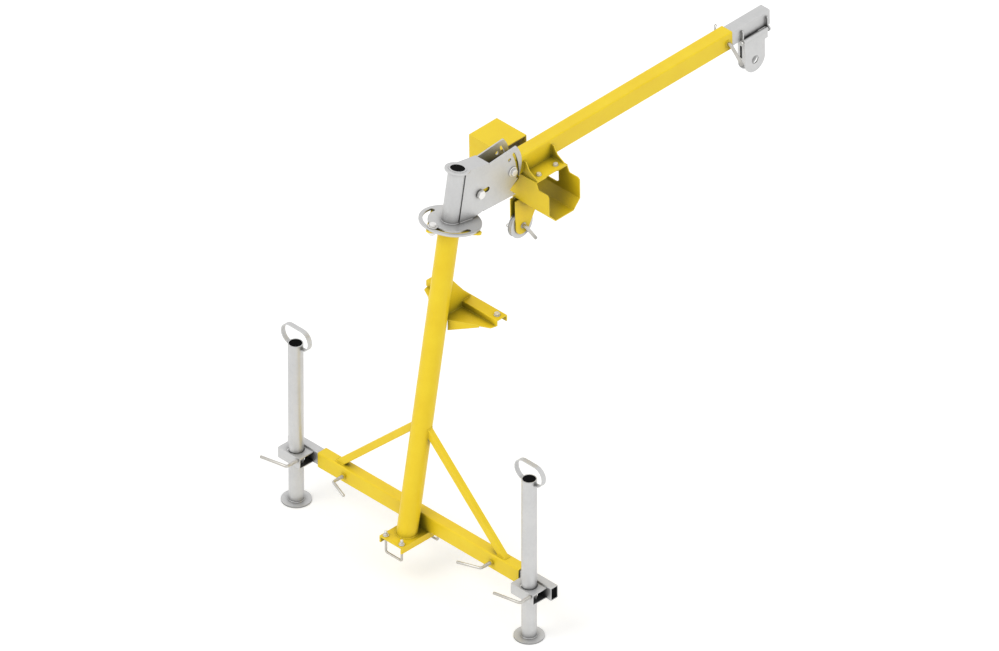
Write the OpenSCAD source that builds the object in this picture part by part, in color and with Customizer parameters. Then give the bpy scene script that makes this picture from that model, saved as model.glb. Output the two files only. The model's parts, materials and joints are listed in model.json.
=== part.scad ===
// Trailer-mounted forestry crane: two screw-clamped outriggers with sliding legs,
// a leaning mast, a swivelling head, a tilting boom with a winch seat, and an inner boom.
// Millimetres, +Z up. The origin is the middle of the base plate's underside,
// the boom points along +Y at rest, and the crossbeam runs along X.

/* [Base plate] */
// Half of the plate's width across the drawbar
plate_half_x = 60; // [56:1:90]
// Half of the plate's length along the drawbar
plate_half_y = 115; // [112:1:160]
// Plate thickness
plate_t = 6; // [4:1:10]
// Height of the plate's down-turned side flanges
plate_flange_h = 23; // [15:1:40]
// Rod diameter of the drawbar U-bolts
u_bolt_d = 10; // [8:1:12]
// Half of the distance between the two rods of one U-bolt
u_bolt_half_x = 43; // [38:1:46]
// Distance of each U-bolt from the middle of the plate
u_bolt_y = 97; // [95:1:99]
// Clear depth inside a U-bolt, below the plate
u_bolt_depth = 66; // [50:1:120]

/* [Crossbeam and outriggers] */
// Crossbeam length
beam_len = 1088; // [1000:1:1300]
// Crossbeam height
beam_h = 70; // [64:1:90]
// Crossbeam width
beam_w = 50; // [46:1:60]
// Crossbeam wall
beam_wall = 5; // [4:0.5:6]
// Crossbeam axis, forward of the origin
beam_y = 57; // [56:0.5:60]
// Slack all round between the crossbeam and an outrigger tube
slide_gap = 0.5; // [0.3:0.1:1]
// Outrigger tube wall
outrigger_wall = 4; // [3:0.5:5]
// Distance of an outrigger's outer end from the middle of the crane
outrigger_reach = 712; // [700:1:760]
// Distance of an outrigger's inner end from the middle of the crane
outrigger_start = 100; // [60:1:200]

/* [Legs] */
// Leg tube outside diameter
leg_d = 60.3; // [55:0.1:62]
// Leg tube wall
leg_wall = 4; // [3:0.5:5]
// Leg axis, in from the outrigger's outer end
leg_inset = 81; // [76:1:92]
// Height of the base plate's underside above the ground
ride_h = 172; // [172:1:260]
// Leg length, from the ground to the top of its tube
leg_len = 735; // [600:1:900]
// Foot disc diameter
foot_d = 120; // [100:1:150]
// Foot disc thickness
foot_t = 6; // [4:1:10]
// Leg bracket length along the crossbeam
bracket_len = 118; // [112:1:120]
// Leg bracket height
bracket_h = 47.5; // [44:0.5:56]
// Leg bracket sheet thickness
bracket_t = 4; // [3:0.5:6]
// Clearance of the leg in its bracket
leg_play = 2.5; // [1.5:0.5:4]

/* [Clamp screws] */
// Rod diameter of the clamp screws
screw_d = 12; // [10:1:14]
// Straight length outside the weld nut
screw_out = 44; // [30:1:80]
// Length of a crossbeam screw's handle
screw_arm = 94; // [60:1:120]
// Angle between a crossbeam screw's rod and its handle
screw_bend = 69; // [45:1:90]
// Length of a leg screw's handle
leg_screw_arm = 114; // [60:1:130]
// Angle between a leg screw's rod and its handle
leg_screw_bend = 78; // [45:1:90]
// Height of a leg screw above the middle of its bracket
leg_screw_rise = 12; // [0:1:14]
// Distance of the crossbeam screws from the middle of the crane
beam_screw_x = 400; // [380:1:440]
// Distance of a leg screw from its leg's axis
leg_screw_dx = 46; // [45:0.5:47]

/* [Mast] */
// Mast tube outside diameter
mast_d = 82.5; // [80:0.5:86]
// Lean of the mast toward the boom
mast_lean = 10; // [8:0.5:10]
// Mast length along its axis, from the base plate to the top of its flange
mast_len = 1352.5; // [1200:0.5:1500]
// Mast axis where it meets the base plate
mast_foot_y = -26.5; // [-30:0.5:-26]
// Thickness of the mast's top flange
flange_t = 8; // [6:1:12]
// Reach of the flange's corners from the mast axis
flange_reach = 125; // [116:1:130]
// Brace depth, seen from the front
brace_h = 30; // [20:1:40]
// Brace width, fore and aft
brace_w = 25; // [20:1:30]
// Where the braces stand on the crossbeam
brace_foot_x = 438; // [420:1:470]
// Height at which the braces meet the mast
brace_top_z = 488; // [400:1:560]

/* [Load bracket] */
// Length of the channel across the mast
channel_len = 380; // [340:1:440]
// Channel width
channel_w = 57; // [50:1:70]
// Channel flange height
channel_h = 28; // [20:1:34]
// Channel sheet thickness
channel_t = 5; // [4:0.5:6]
// Height of the channel's top
channel_top = 944; // [900:1:990]
// Near edge of the channel
channel_y = 268; // [255:1:280]

/* [Head] */
// Head tube outside diameter
head_d = 70; // [66:1:72]
// Head tube wall
head_wall = 6; // [4:0.5:8]
// Length of the head tube inside the mast
spigot_len = 260; // [150:1:400]
// Head tube length above the disc
head_h = 224; // [220:1:240]
// Head disc radius
disc_r = 122; // [118:1:126]
// Head disc thickness
disc_t = 8; // [6:1:10]
// Radius of the stop slot in the disc
slot_r = 97; // [90:1:102]
// Diameter of the swivel stop bolt
stop_d = 16; // [12:1:18]
// Cheek plate thickness
cheek_t = 6; // [5:0.5:8]
// Length of the top plate in front of the head tube's axis
top_plate_len = 135; // [120:1:150]

/* [Boom] */
// Boom pivot, forward of the top of the mast's axis
pivot_fwd = 121.64; // [118:0.01:127]
// Boom pivot, above the top of the mast's axis
pivot_up = 89.05; // [86:0.01:92]
// Pivot bolt diameter
pivot_d = 20; // [16:1:22]
// Boom angle above level at rest
boom_pitch = 1; // [0:0.5:3]
// Boom tube height
boom_h = 80; // [76:1:90]
// Boom tube width
boom_w = 60; // [56:1:62]
// Boom tube wall
boom_wall = 4.5; // [4:0.5:5]
// Boom axis above its pivot
boom_rise = 10; // [8:1:12]
// Boom length in front of its pivot
boom_len = 1374; // [1200:1:1500]
// Radius of the lock holes about the pivot
lock_r = 178; // [174:1:182]
// Lock bolt diameter
lock_d = 16; // [12:1:18]
// Angle from the lower to the upper lock hole
lock_step = 20; // [18:1:22]
// Length of the inner boom
inner_len = 757; // [700:1:900]
// How far the inner boom stands out of the boom at rest
inner_out = 209; // [200:1:230]
// Travel of the inner boom
inner_travel = 350; // [200:1:350]
// Diameter of the hand pins
hand_pin_d = 14; // [12:1:16]
// Reach of a spring clip from its pin's axis
clip_len = 51; // [40:1:60]
// Distance of the boom's hand pin behind the boom's front end
hand_pin_back = 27; // [24:1:40]

/* [Winch seat] */
// Middle of the winch seat, in front of the pivot
seat_u = 318; // [314:1:330]
// Half of the trough's width
trough_half = 85; // [78:1:90]
// Depth of the trough's floor below the pivot
trough_floor = 200; // [190:1:215]
// Trough sheet thickness
trough_t = 4; // [3:0.5:5]
// Mouth of the trough, out from the boom's middle
trough_mouth = 173; // [165:1:190]
// Width of the shelf on the boom's side
shelf_w = 78; // [70:1:90]
// Hood size across the boom
hood_w = 160; // [140:1:180]
// Hood size along the boom
hood_l = 150; // [130:1:154]

/* [Rope pulley] */
// Pulley radius
pulley_r = 58; // [50:1:60]
// Pulley width
pulley_w = 20; // [16:1:26]
// Pulley axle, in front of the pivot
pulley_u = 250; // [246:1:256]
// Pulley axle, below the pivot
pulley_n = 287; // [280:1:295]

/* [Tip block] */
// Radius of the block's rounded end
tip_r = 54; // [44:1:56]
// Hook hole diameter
tip_hole_d = 36; // [26:1:40]
// Depth of the hook hole below the pivot's level
tip_hole_n = 135; // [125:1:145]
// Hook hole behind the inner boom's end
tip_hole_back = 95; // [88:1:100]
// Width of the block
tip_w = 40; // [34:1:44]

/* [Clearances] */
// Radial clearance of every shaft, pin and screw that turns
run_gap = 0.05; // [0.02:0.01:0.09]
// Gap between faces of pieces that move past each other
face_gap = 0.3; // [0.3:0.1:0.6]
// Gap between a cheek and the boom
cheek_gap = 1; // [0.5:0.1:2]

/* [Hidden] */
$fn = 64;

yellow = "#F5D136";
zinc = "#C9CAC8";
black = "#1B1B1C";

ground_z = -ride_h;
beam_z = plate_t + beam_h / 2;
beam_face_y = beam_y - beam_w / 2;
tube_h = beam_h - 2 * beam_wall - 2 * slide_gap;
tube_w = beam_w - 2 * beam_wall - 2 * slide_gap;
tube_face_y = beam_y - tube_w / 2;
wall_gap = 0.2;

mast_bore = head_d / 2 + run_gap;
disc_w0 = mast_len + face_gap;
disc_w1 = disc_w0 + disc_t;
head_top = disc_w1 + head_h;
head_proud = 1.5;

cheek_in = boom_w / 2 + cheek_gap;
cheek_out = cheek_in + cheek_t;
inner_h = boom_h - 2 * boom_wall - 2 * slide_gap;
inner_w = boom_w - 2 * boom_wall - 2 * slide_gap;
inner_end = boom_len + inner_out;
boom_under = boom_rise - boom_h / 2;
inner_under = boom_rise - inner_h / 2;
hand_pin_u = boom_len - hand_pin_back;

// Leg bracket: the leg stands in front of the outrigger tube
leg_y = tube_face_y - leg_d / 2 - 5.2;
bracket_front_y = leg_y - leg_d / 2 - 9.8;
leg_x = outrigger_reach - leg_inset;
leg_screw_z = beam_z + leg_screw_rise;

function arc(c, r, a0, a1, n) = [for (i = [0:n]) let (a = a0 + (a1 - a0) * i / n) c + r * [cos(a), sin(a)]];
function unit(v) = v / norm(v);
function left_of(v) = [-v[1], v[0]];
// Points of a bent sheet: the given line and the same line set in by t, with mitred corners
function miter(a, b) = (a + b) / (1 + a * b);
function line_normals(p) = [for (i = [0:len(p) - 2]) left_of(unit(p[i + 1] - p[i]))];
function set_in(p, t) = let (m = line_normals(p), k = len(p) - 1)
    [for (i = [0:k]) p[i] + t * (i == 0 ? m[0] : i == k ? m[k - 1] : miter(m[i - 1], m[i]))];
function sheet(p, t) = let (q = set_in(p, t), k = len(p) - 1) concat(p, [for (i = [0:k]) q[k - i]]);
// A point given along and in front of the mast axis, as [Y, Z]
function mast_pt(v, w) = [
    mast_foot_y + v * cos(mast_lean) + w * sin(mast_lean),
    plate_t - v * sin(mast_lean) + w * cos(mast_lean)
];

module rounded_rect(w, h, r) {
    square([w - 2 * r, h], center = true);
    square([w, h - 2 * r], center = true);
    for (x = [-1, 1], y = [-1, 1]) translate([x * (w / 2 - r), y * (h / 2 - r)]) circle(r, $fn = 32);
}
module tube_section(w, h, t, r) difference() {
    rounded_rect(w, h, r);
    rounded_rect(w - 2 * t, h - 2 * t, max(r - t, 0.8));
}
module along_x(x0, x1) translate([x0, 0, 0]) rotate([90, 0, 90]) linear_extrude(x1 - x0) children();
module along_y(y0, y1) translate([0, y0, 0]) rotate([-90, 0, 0]) linear_extrude(y1 - y0) children();
module on_mast() translate([0, mast_foot_y, plate_t]) rotate([-mast_lean, 0, 0]) children();
// The boom's pivot stands over the top of the mast
pivot_y = mast_pt(0, mast_len)[0] + pivot_fwd;
pivot_z = mast_pt(0, mast_len)[1] + pivot_up;
module on_boom() translate([0, pivot_y, pivot_z]) rotate([boom_pitch, 0, 0]) children();
module x_rod(x0, x1, r) translate([x0, 0, 0]) rotate([0, 90, 0]) cylinder(r = r, h = x1 - x0);
module hex(d, h) cylinder(d = d * 2, h = h, $fn = 6);
// Bolt head, shank and nut along +Z, with a washer under the head and under the nut
module bolt(d, grip, washer = 0, washer_t = 2) {
    w = washer == 0 ? 2.1 * d : washer;
    translate([0, 0, -washer_t - 0.65 * d]) hex(d * 0.95, 0.65 * d);
    translate([0, 0, -washer_t]) cylinder(d = w, h = washer_t);
    translate([0, 0, -washer_t]) cylinder(d = d, h = grip + 2 * washer_t + d * 1.1);
    translate([0, 0, grip]) cylinder(d = w, h = washer_t);
    translate([0, 0, grip + washer_t]) hex(d * 0.95, 0.8 * d);
}
// Rod along +Z that bends toward +X in equal short steps
module rod_chain(d, arm, step_angle, steps) if (steps == 0) cylinder(d = d, h = arm);
    else {
        cylinder(d = d, h = d / 2);
        translate([0, 0, d / 2]) {
            sphere(d = d);
            rotate([0, step_angle, 0]) rod_chain(d, arm, step_angle, steps - 1);
        }
    }
module bent_rod(d, straight, arm, bend) {
    cylinder(d = d, h = straight);
    translate([0, 0, straight]) {
        sphere(d = d);
        rotate([0, bend / 3, 0]) rod_chain(d, arm, bend / 3, 2);
    }
}
// Spring clip: a leg through the pin's end, and a ring at the far end of the wire
clip_wire = 2.4;
clip_ring = 6;
module clip(pin_r) {
    translate([0, 0, -pin_r - 6]) cylinder(d = clip_wire, h = pin_r + 6 + clip_len - 2 * clip_ring);
    translate([0, 0, clip_len - clip_ring]) rotate([0, 90, 0])
        rotate_extrude() translate([clip_ring, 0]) circle(d = clip_wire, $fn = 24);
}

// Base plate and U-bolts
module base_plate() color(yellow) difference() {
    union() {
        translate([-plate_half_x, -plate_half_y, 0]) cube([2 * plate_half_x, 2 * plate_half_y, plate_t]);
        for (s = [-1, 1]) translate([s * (plate_half_x - plate_t / 2), 0, -plate_flange_h / 2 + plate_t / 2])
            cube([plate_t, 2 * plate_half_y, plate_flange_h + plate_t], center = true);
    }
    for (s = [-1, 1], y = [-1, 1]) translate([s * u_bolt_half_x, y * u_bolt_y, -1])
        cylinder(d = u_bolt_d + 0.6, h = plate_t + 2);
}
module drawbar_u_bolts() color(zinc) for (y = [-1, 1]) translate([0, y * u_bolt_y, 0]) {
    r = 9;
    side = u_bolt_depth + 2 * u_bolt_d + plate_t - r;
    bottom = -u_bolt_depth - u_bolt_d / 2;
    for (s = [-1, 1]) mirror([s < 0 ? 1 : 0, 0, 0]) {
        translate([u_bolt_half_x, 0, bottom + r]) cylinder(d = u_bolt_d, h = side);
        translate([u_bolt_half_x - r, 0, bottom + r]) rotate([90, 0, 0]) rotate([0, 0, -90])
            rotate_extrude(angle = 90) translate([r, 0]) circle(d = u_bolt_d);
        translate([0, 0, bottom]) x_rod(0, u_bolt_half_x - r, u_bolt_d / 2);
    }
}
module u_bolt_nuts() color(zinc) for (s = [-1, 1], y = [-1, 1])
    translate([s * u_bolt_half_x, y * u_bolt_y, plate_t]) difference() {
        union() {
            cylinder(d = 2.4 * u_bolt_d, h = 2.5);
            translate([0, 0, 2.5]) hex(u_bolt_d * 0.92, 0.8 * u_bolt_d);
        }
        translate([0, 0, -1]) cylinder(d = u_bolt_d, h = 2 * u_bolt_d);
    }

// Crossbeam: square tube with a weld nut for each outrigger screw
module crossbeam() color(yellow) difference() {
    union() {
        translate([0, beam_y, beam_z]) along_x(-beam_len / 2, beam_len / 2)
            tube_section(beam_w, beam_h, beam_wall, 6);
        for (s = [-1, 1]) translate([s * beam_screw_x, beam_face_y, beam_z]) rotate([90, 0, 0])
            cylinder(d = screw_d * 1.9, h = 9);
    }
    for (s = [-1, 1]) translate([s * beam_screw_x, beam_face_y + beam_wall + 1, beam_z]) rotate([90, 0, 0])
        cylinder(r = screw_d / 2 + run_gap, h = beam_wall + 12);
}
// Clamp screw with its handle toward +X; it reaches inside past the face that holds it
module clamp_screw(inside, outside, arm, bend) translate([0, inside, 0]) rotate([90, 0, 0])
    bent_rod(screw_d, inside + outside, arm, bend);
module beam_screw(s) color(zinc) translate([s * beam_screw_x, beam_face_y, beam_z])
    mirror([s > 0 ? 1 : 0, 0, 0])
        clamp_screw(beam_wall + slide_gap - face_gap, screw_out + 8, screw_arm, screw_bend);
module beam_screw_left() beam_screw(-1);
module beam_screw_right() beam_screw(1);

// Outriggers: each side has a tube, its plug, and the bracket for its leg
module outrigger_span(s, x0, x1) translate([0, beam_y, beam_z]) if (s > 0) along_x(x0, x1) children();
    else along_x(-x1, -x0) children();
module outrigger_tube(s) color(zinc) outrigger_span(s, outrigger_start, outrigger_reach)
    tube_section(tube_w, tube_h, outrigger_wall, 5);
module outrigger_tube_left() outrigger_tube(-1);
module outrigger_tube_right() outrigger_tube(1);
module outrigger_plug(s) color(black) outrigger_span(s, outrigger_reach - 18, outrigger_reach - 1.5)
    rounded_rect(tube_w - 2 * outrigger_wall - wall_gap, tube_h - 2 * outrigger_wall - wall_gap, 1);
module outrigger_plug_left() outrigger_plug(-1);
module outrigger_plug_right() outrigger_plug(1);

bracket_z0 = beam_z - bracket_h / 2;
module leg_bracket(s) color(zinc) translate([s * leg_x, 0, 0]) difference() {
    translate([-bracket_len / 2, bracket_front_y, bracket_z0])
        difference() {
            cube([bracket_len, tube_face_y - bracket_front_y, bracket_h]);
            translate([-1, bracket_t, bracket_t])
                cube([bracket_len + 2, tube_face_y - bracket_front_y, bracket_h - 2 * bracket_t]);
        }
    translate([0, leg_y, bracket_z0 - 1]) cylinder(r = leg_d / 2 + leg_play, h = bracket_h + 2);
    translate([leg_screw_dx, bracket_front_y + bracket_t + 1, leg_screw_z]) rotate([90, 0, 0])
        cylinder(r = screw_d / 2 + run_gap, h = bracket_t + 2);
}
module leg_bracket_left() leg_bracket(-1);
module leg_bracket_right() leg_bracket(1);

// Clamp shoe: a slanting plate between the screw's tip and the leg's side
shoe_h = bracket_h - 2 * bracket_t - 1;
shoe_t = 5;
shoe_r = leg_d / 2 + face_gap;
shoe_tip_y = leg_y - (shoe_r + shoe_t) / sin(45) + leg_screw_dx + screw_d / 2;
module clamp_shoe(s) color(zinc) translate([s * leg_x, leg_y, bracket_z0 + bracket_t])
    rotate([0, 0, -45]) translate([shoe_r, -8, 0]) cube([shoe_t, 36, shoe_h]);
module clamp_shoe_left() clamp_shoe(-1);
module clamp_shoe_right() clamp_shoe(1);
leg_screw_in = shoe_tip_y - bracket_front_y - screw_d - face_gap;
module leg_screw(s) color(zinc) translate([s * leg_x + leg_screw_dx, bracket_front_y, leg_screw_z])
    mirror([1, 0, 0]) clamp_screw(leg_screw_in, screw_out + 4, leg_screw_arm, leg_screw_bend);
module leg_screw_left() leg_screw(-1);
module leg_screw_right() leg_screw(1);

// Legs
handle_strip = [20, 4];
handle_w = 150;
handle_h = 91;
handle_y = leg_y + 5;
handle_z = ground_z + leg_len + 26;
module leg_tube(s) color(zinc) translate([s * leg_x, leg_y, ground_z + foot_t]) difference() {
    cylinder(d = leg_d, h = leg_len - foot_t);
    translate([0, 0, -1]) cylinder(d = leg_d - 2 * leg_wall, h = leg_len + 2);
}
module leg_tube_left() leg_tube(-1);
module leg_tube_right() leg_tube(1);
module leg_foot(s) color(zinc) translate([s * leg_x, leg_y, ground_z]) cylinder(d = foot_d, h = foot_t);
module leg_foot_left() leg_foot(-1);
module leg_foot_right() leg_foot(1);
module leg_plug(s) color(black) translate([s * leg_x, leg_y, ground_z + leg_len - 20])
    cylinder(d = leg_d - 2 * leg_wall - wall_gap, h = 19);
module leg_plug_left() leg_plug(-1);
module leg_plug_right() leg_plug(1);
module stadium(w, h) for (e = [-1, 1]) {
    translate([e * (w - h) / 2, 0]) circle(d = h);
    square([w - h, h], center = true);
}
module leg_handle(s) color(zinc) difference() {
    translate([s * leg_x, handle_y + handle_strip[0] / 2, handle_z]) rotate([90, 0, 0])
        linear_extrude(handle_strip[0]) difference() {
            stadium(handle_w, handle_h);
            stadium(handle_w - 2 * handle_strip[1], handle_h - 2 * handle_strip[1]);
        }
    translate([s * leg_x, leg_y, ground_z]) cylinder(d = leg_d, h = leg_len + 20);
}
module leg_handle_left() leg_handle(-1);
module leg_handle_right() leg_handle(1);

// Mast and what is welded to it
module mast() color(yellow) difference() {
    on_mast() translate([0, 0, -30]) cylinder(d = mast_d, h = mast_len + 30 - flange_t);
    on_mast() translate([0, 0, -40]) cylinder(r = mast_bore, h = mast_len + 60);
    translate([-200, -300, -200 + plate_t]) cube([400, 500, 200]);
}
// Three-cornered plate: one corner behind the mast, two beside and in front of it
corner_r = 14;
corners = [[0, corner_r - flange_reach], [flange_reach - 10, 36], [10 - flange_reach, 36]];
module flange_plan() {
    for (p = corners) translate(p) circle(corner_r);
    polygon([for (i = [0:2], e = [0, 1]) corners[(i + e) % 3]
        - corner_r * left_of(unit(corners[(i + 1) % 3] - corners[i]))]);
}
module mast_flange() color(yellow) on_mast() translate([0, 0, mast_len - flange_t]) difference() {
    linear_extrude(flange_t) flange_plan();
    translate([0, 0, -1]) cylinder(r = mast_bore, h = flange_t + 2);
    translate([0, -slot_r, -1]) cylinder(d = stop_d + 0.4, h = flange_t + 2);
}
brace_top_y = mast_pt(0, brace_top_z / cos(mast_lean))[0];
brace_rise = brace_top_z - plate_t - beam_h;
brace_run = [brace_foot_x, beam_y - brace_top_y, brace_rise];
module brace(s) color(yellow) mirror([s < 0 ? 1 : 0, 0, 0]) difference() {
    translate([brace_foot_x, beam_y, plate_t + beam_h])
        rotate([0, 0, atan2(beam_y - brace_top_y, brace_foot_x)])
            rotate([0, -atan2(norm([brace_run[0], brace_run[1]]), brace_rise), 0])
                translate([0, 0, -40]) linear_extrude(norm(brace_run) + 40)
                    tube_section(brace_h, brace_w, 3, 3);
    on_mast() cylinder(d = mast_d, h = mast_len);
    translate([0, beam_y - 100, plate_t + beam_h - 200]) cube([brace_foot_x + 100, 200, 200]);
    translate([-200, beam_y - 300, 0]) cube([200, 600, 1000]);
}
module brace_left() brace(-1);
module brace_right() brace(1);

// Load bracket: a downturned channel across the front of the mast, on a gusset plate in
// the middle and on a flared lower plate whose free edges turn down
flare_top = channel_top - channel_h + 1.5;
flare = [[-20, 150], [20, 150], [24.5, 166.6], [179, 247], [185, channel_y + 4],
    [-185, channel_y + 4], [-179, 247], [-24.5, 166.6]];
skirt_len = 125;
skirt_in = 0.5;
skirt_turn = atan2(flare[3][1] - flare[2][1], flare[3][0] - flare[2][0]);
module load_bracket() color(yellow) difference() {
    union() {
        translate([0, channel_y + channel_w / 2, channel_top]) along_x(-channel_len / 2, channel_len / 2)
            difference() {
                translate([0, -channel_h / 2]) rounded_rect(channel_w, channel_h, 3);
                translate([0, -channel_h / 2 - channel_t])
                    square([channel_w - 2 * channel_t, channel_h], center = true);
            }
        translate([-channel_t / 2, 0, 0]) along_x(0, channel_t) polygon([
            [150, flare_top - 2], [150, channel_top + 151], [192, channel_top + 153],
            [224, channel_top + 113], [285, channel_top + 36], [channel_y + channel_w - 5, channel_top - 1],
            [channel_y + 3, channel_top - 1], [channel_y + 3, flare_top - 2]]);
        translate([0, 0, flare_top - channel_t]) linear_extrude(channel_t) polygon(flare);
        for (s = [0, 1]) mirror([s, 0, 0]) translate([flare[2][0], flare[2][1], flare_top])
            rotate([90, 0, skirt_turn]) translate([2, -1, -channel_t - skirt_in]) linear_extrude(channel_t)
                polygon([[0, 0], [0, -49], [skirt_len, -10], [skirt_len, 0]]);
    }
    on_mast() cylinder(d = mast_d, h = mast_len);
    for (s = [-1, 1]) translate([s * (channel_len / 2 - 26), channel_y + channel_w / 2, channel_top - 10])
        cylinder(d = 12.4, h = 20);
}
module load_bracket_bolts() color(zinc) for (s = [-1, 1])
    translate([s * (channel_len / 2 - 26), channel_y + channel_w / 2, channel_top]) mirror([0, 0, 1])
        bolt(12, channel_t);
module swivel_stop_bolt() color(zinc) on_mast() translate([0, -slot_r, disc_w1 + face_gap])
    mirror([0, 0, 1]) bolt(stop_d, disc_t + 2 * face_gap + flange_t, washer = 40, washer_t = 3);

// Swivelling head
module head_disc() color(zinc) on_mast() translate([0, 0, disc_w0]) difference() {
    cylinder(r = disc_r, h = disc_t, $fn = 96);
    translate([0, 0, -1]) cylinder(d = head_d, h = disc_t + 2);
    rotate([0, 0, 180]) translate([0, 0, -1]) rotate_extrude(angle = 180, $fn = 96)
        translate([slot_r - stop_d / 2 - 2, 0]) square([stop_d + 4, disc_t + 2]);
    for (s = [-1, 1]) translate([s * slot_r, 0, -1]) cylinder(d = stop_d + 4, h = disc_t + 2);
}
module head_tube() color(zinc) on_mast() translate([0, 0, mast_len - spigot_len]) difference() {
    cylinder(d = head_d, h = head_top + head_proud - mast_len + spigot_len);
    translate([0, 0, -1]) cylinder(d = head_d - 2 * head_wall, h = 2 * head_top);
}
module head_plug() color(black) on_mast() translate([0, 0, head_top + head_proud - 18])
    cylinder(d = head_d - 2 * head_wall - wall_gap, h = 18.5);
top_plate_r = 50;
module head_top_plate() color(zinc) on_mast() translate([0, 0, head_top - cheek_t]) difference() {
    linear_extrude(cheek_t) {
        circle(r = top_plate_r);
        translate([-cheek_out, 0]) square([2 * cheek_out, top_plate_len]);
    }
    translate([0, 0, -1]) cylinder(d = head_d, h = cheek_t + 2);
}
nose = [pivot_y + 95, pivot_z + 41];
slot_arc_r = lock_r + 27;
slot_arc = [-6, 27];
slot_arc_w = 13;
function lock_at(i) = [lock_r * cos(5 + i * lock_step), lock_r * sin(5 + i * lock_step)];
cheek_outline = concat(
    [mast_pt(12, disc_w1), mast_pt(12, head_top - cheek_t), mast_pt(top_plate_len, head_top - cheek_t)],
    arc(nose, 131, 39, -33, 18),
    [[pivot_y + 162, pivot_z - 63], [pivot_y + 193.5, pivot_z - 97], [pivot_y + 20, pivot_z - 91]],
    arc([pivot_y, pivot_z - 49], 42, -60, -90, 5),
    [mast_pt(85, disc_w1)]
);
module cheek(s) color(zinc) difference() {
    translate([s > 0 ? cheek_in : -cheek_out, 0, 0]) along_x(0, cheek_t) polygon(cheek_outline);
    on_mast() cylinder(d = head_d, h = 2 * mast_len);
    translate([0, pivot_y, pivot_z]) {
        x_rod(-60, 60, pivot_d / 2 + 0.5);
        translate([0, 43, 0]) x_rod(-60, 60, pivot_d / 2 + 0.5);
        translate([-60, 0, -pivot_d / 2 - 0.5]) cube([120, 43, pivot_d + 1]);
        translate([0, lock_at(0)[0], lock_at(0)[1]]) x_rod(-60, 60, lock_d / 2 + 0.2);
        translate([0, lock_at(1)[0], lock_at(1)[1]]) x_rod(-60, 60, lock_d / 2 + 0.2);
        rotate([90, 0, 90]) rotate([0, 0, slot_arc[0]]) translate([0, 0, -60])
            rotate_extrude(angle = slot_arc[1] - slot_arc[0])
                translate([slot_arc_r - slot_arc_w / 2, 0]) square([slot_arc_w, 120]);
        for (a = slot_arc) translate([0, slot_arc_r * cos(a), slot_arc_r * sin(a)])
            x_rod(-60, 60, slot_arc_w / 2);
    }
}
module cheek_left() cheek(-1);
module cheek_right() cheek(1);
module boom_pivot_bolt() color(zinc) translate([cheek_out, pivot_y, pivot_z]) rotate([0, -90, 0])
    bolt(pivot_d, 2 * cheek_out, washer = pivot_d * 1.5, washer_t = 3);
module boom_lock_bolt() color(zinc) translate([cheek_out, pivot_y + lock_at(0)[0], pivot_z + lock_at(0)[1]])
    rotate([0, -90, 0]) bolt(lock_d, 2 * cheek_out, washer = 42, washer_t = 4);

// Boom, with a notch behind the cheeks in which the lock bolt passes
module boom_tube() color(yellow) on_boom() difference() {
    union() {
        translate([0, 0, boom_rise]) along_y(-40, boom_len) tube_section(boom_w, boom_h, boom_wall, 6);
        x_rod(-boom_w / 2 + 1, boom_w / 2 - 1, pivot_d / 2 + 6);
        translate([0, hand_pin_u, boom_rise]) x_rod(boom_w / 2 - 1, boom_w / 2 + 5, hand_pin_d / 2 + 5);
    }
    x_rod(-60, 60, pivot_d / 2 + run_gap);
    translate([0, hand_pin_u, boom_rise]) x_rod(-60, 60, hand_pin_d / 2 + 0.2);
    rotate([90, 0, 90]) rotate([0, 0, 5 - boom_pitch - lock_step - 3]) translate([0, 0, -60])
        rotate_extrude(angle = lock_step + 3)
            translate([lock_r - lock_d / 2 - 1, 0]) square([lock_d + 2, 120]);
    translate([0, lock_r * cos(5 - boom_pitch), lock_r * sin(5 - boom_pitch)]) x_rod(-60, 60, lock_d / 2 + 1);
}

// Winch seat
shelf_x = boom_w / 2 + shelf_w;
shelf_top = boom_under;
gusset_h = 56;
module winch_shelf() color(yellow) on_boom() difference() {
    union() {
        translate([boom_w / 2 - 12, seat_u - 79, shelf_top - 5]) cube([shelf_w + 12, 158, 5]);
        for (u = [seat_u - 77, seat_u + 73]) along_y(u, u + 4)
            polygon([[boom_w / 2, -shelf_top], [shelf_x - 4, -shelf_top], [boom_w / 2 + 32, -shelf_top - 24],
                [boom_w / 2 + 14, -shelf_top - gusset_h], [boom_w / 2, -shelf_top - gusset_h]]);
    }
    for (u = [-45, 45]) translate([shelf_x - 26, seat_u + u, shelf_top - 10]) cylinder(d = 10.4, h = 20);
}
module winch_bolts() color(zinc) on_boom() for (u = [-45, 45])
    translate([shelf_x - 26, seat_u + u, shelf_top]) mirror([0, 0, 1]) bolt(10, 5 + trough_t);
chamfer_n = 40;
trough_low = -trough_floor;
floor_half = trough_half - 36;
wall_top = -66;
mid_top = -141;
trough_line = [
    [seat_u - trough_half, -60], [seat_u - trough_half, trough_low + chamfer_n],
    [seat_u - floor_half, trough_low], [seat_u + floor_half, trough_low],
    [seat_u + trough_half, trough_low + chamfer_n], [seat_u + trough_half, -60]
];
hood_x0 = 104;
hood_x1 = hood_x0 + hood_w;
tab_top = shelf_top - 5;
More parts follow.
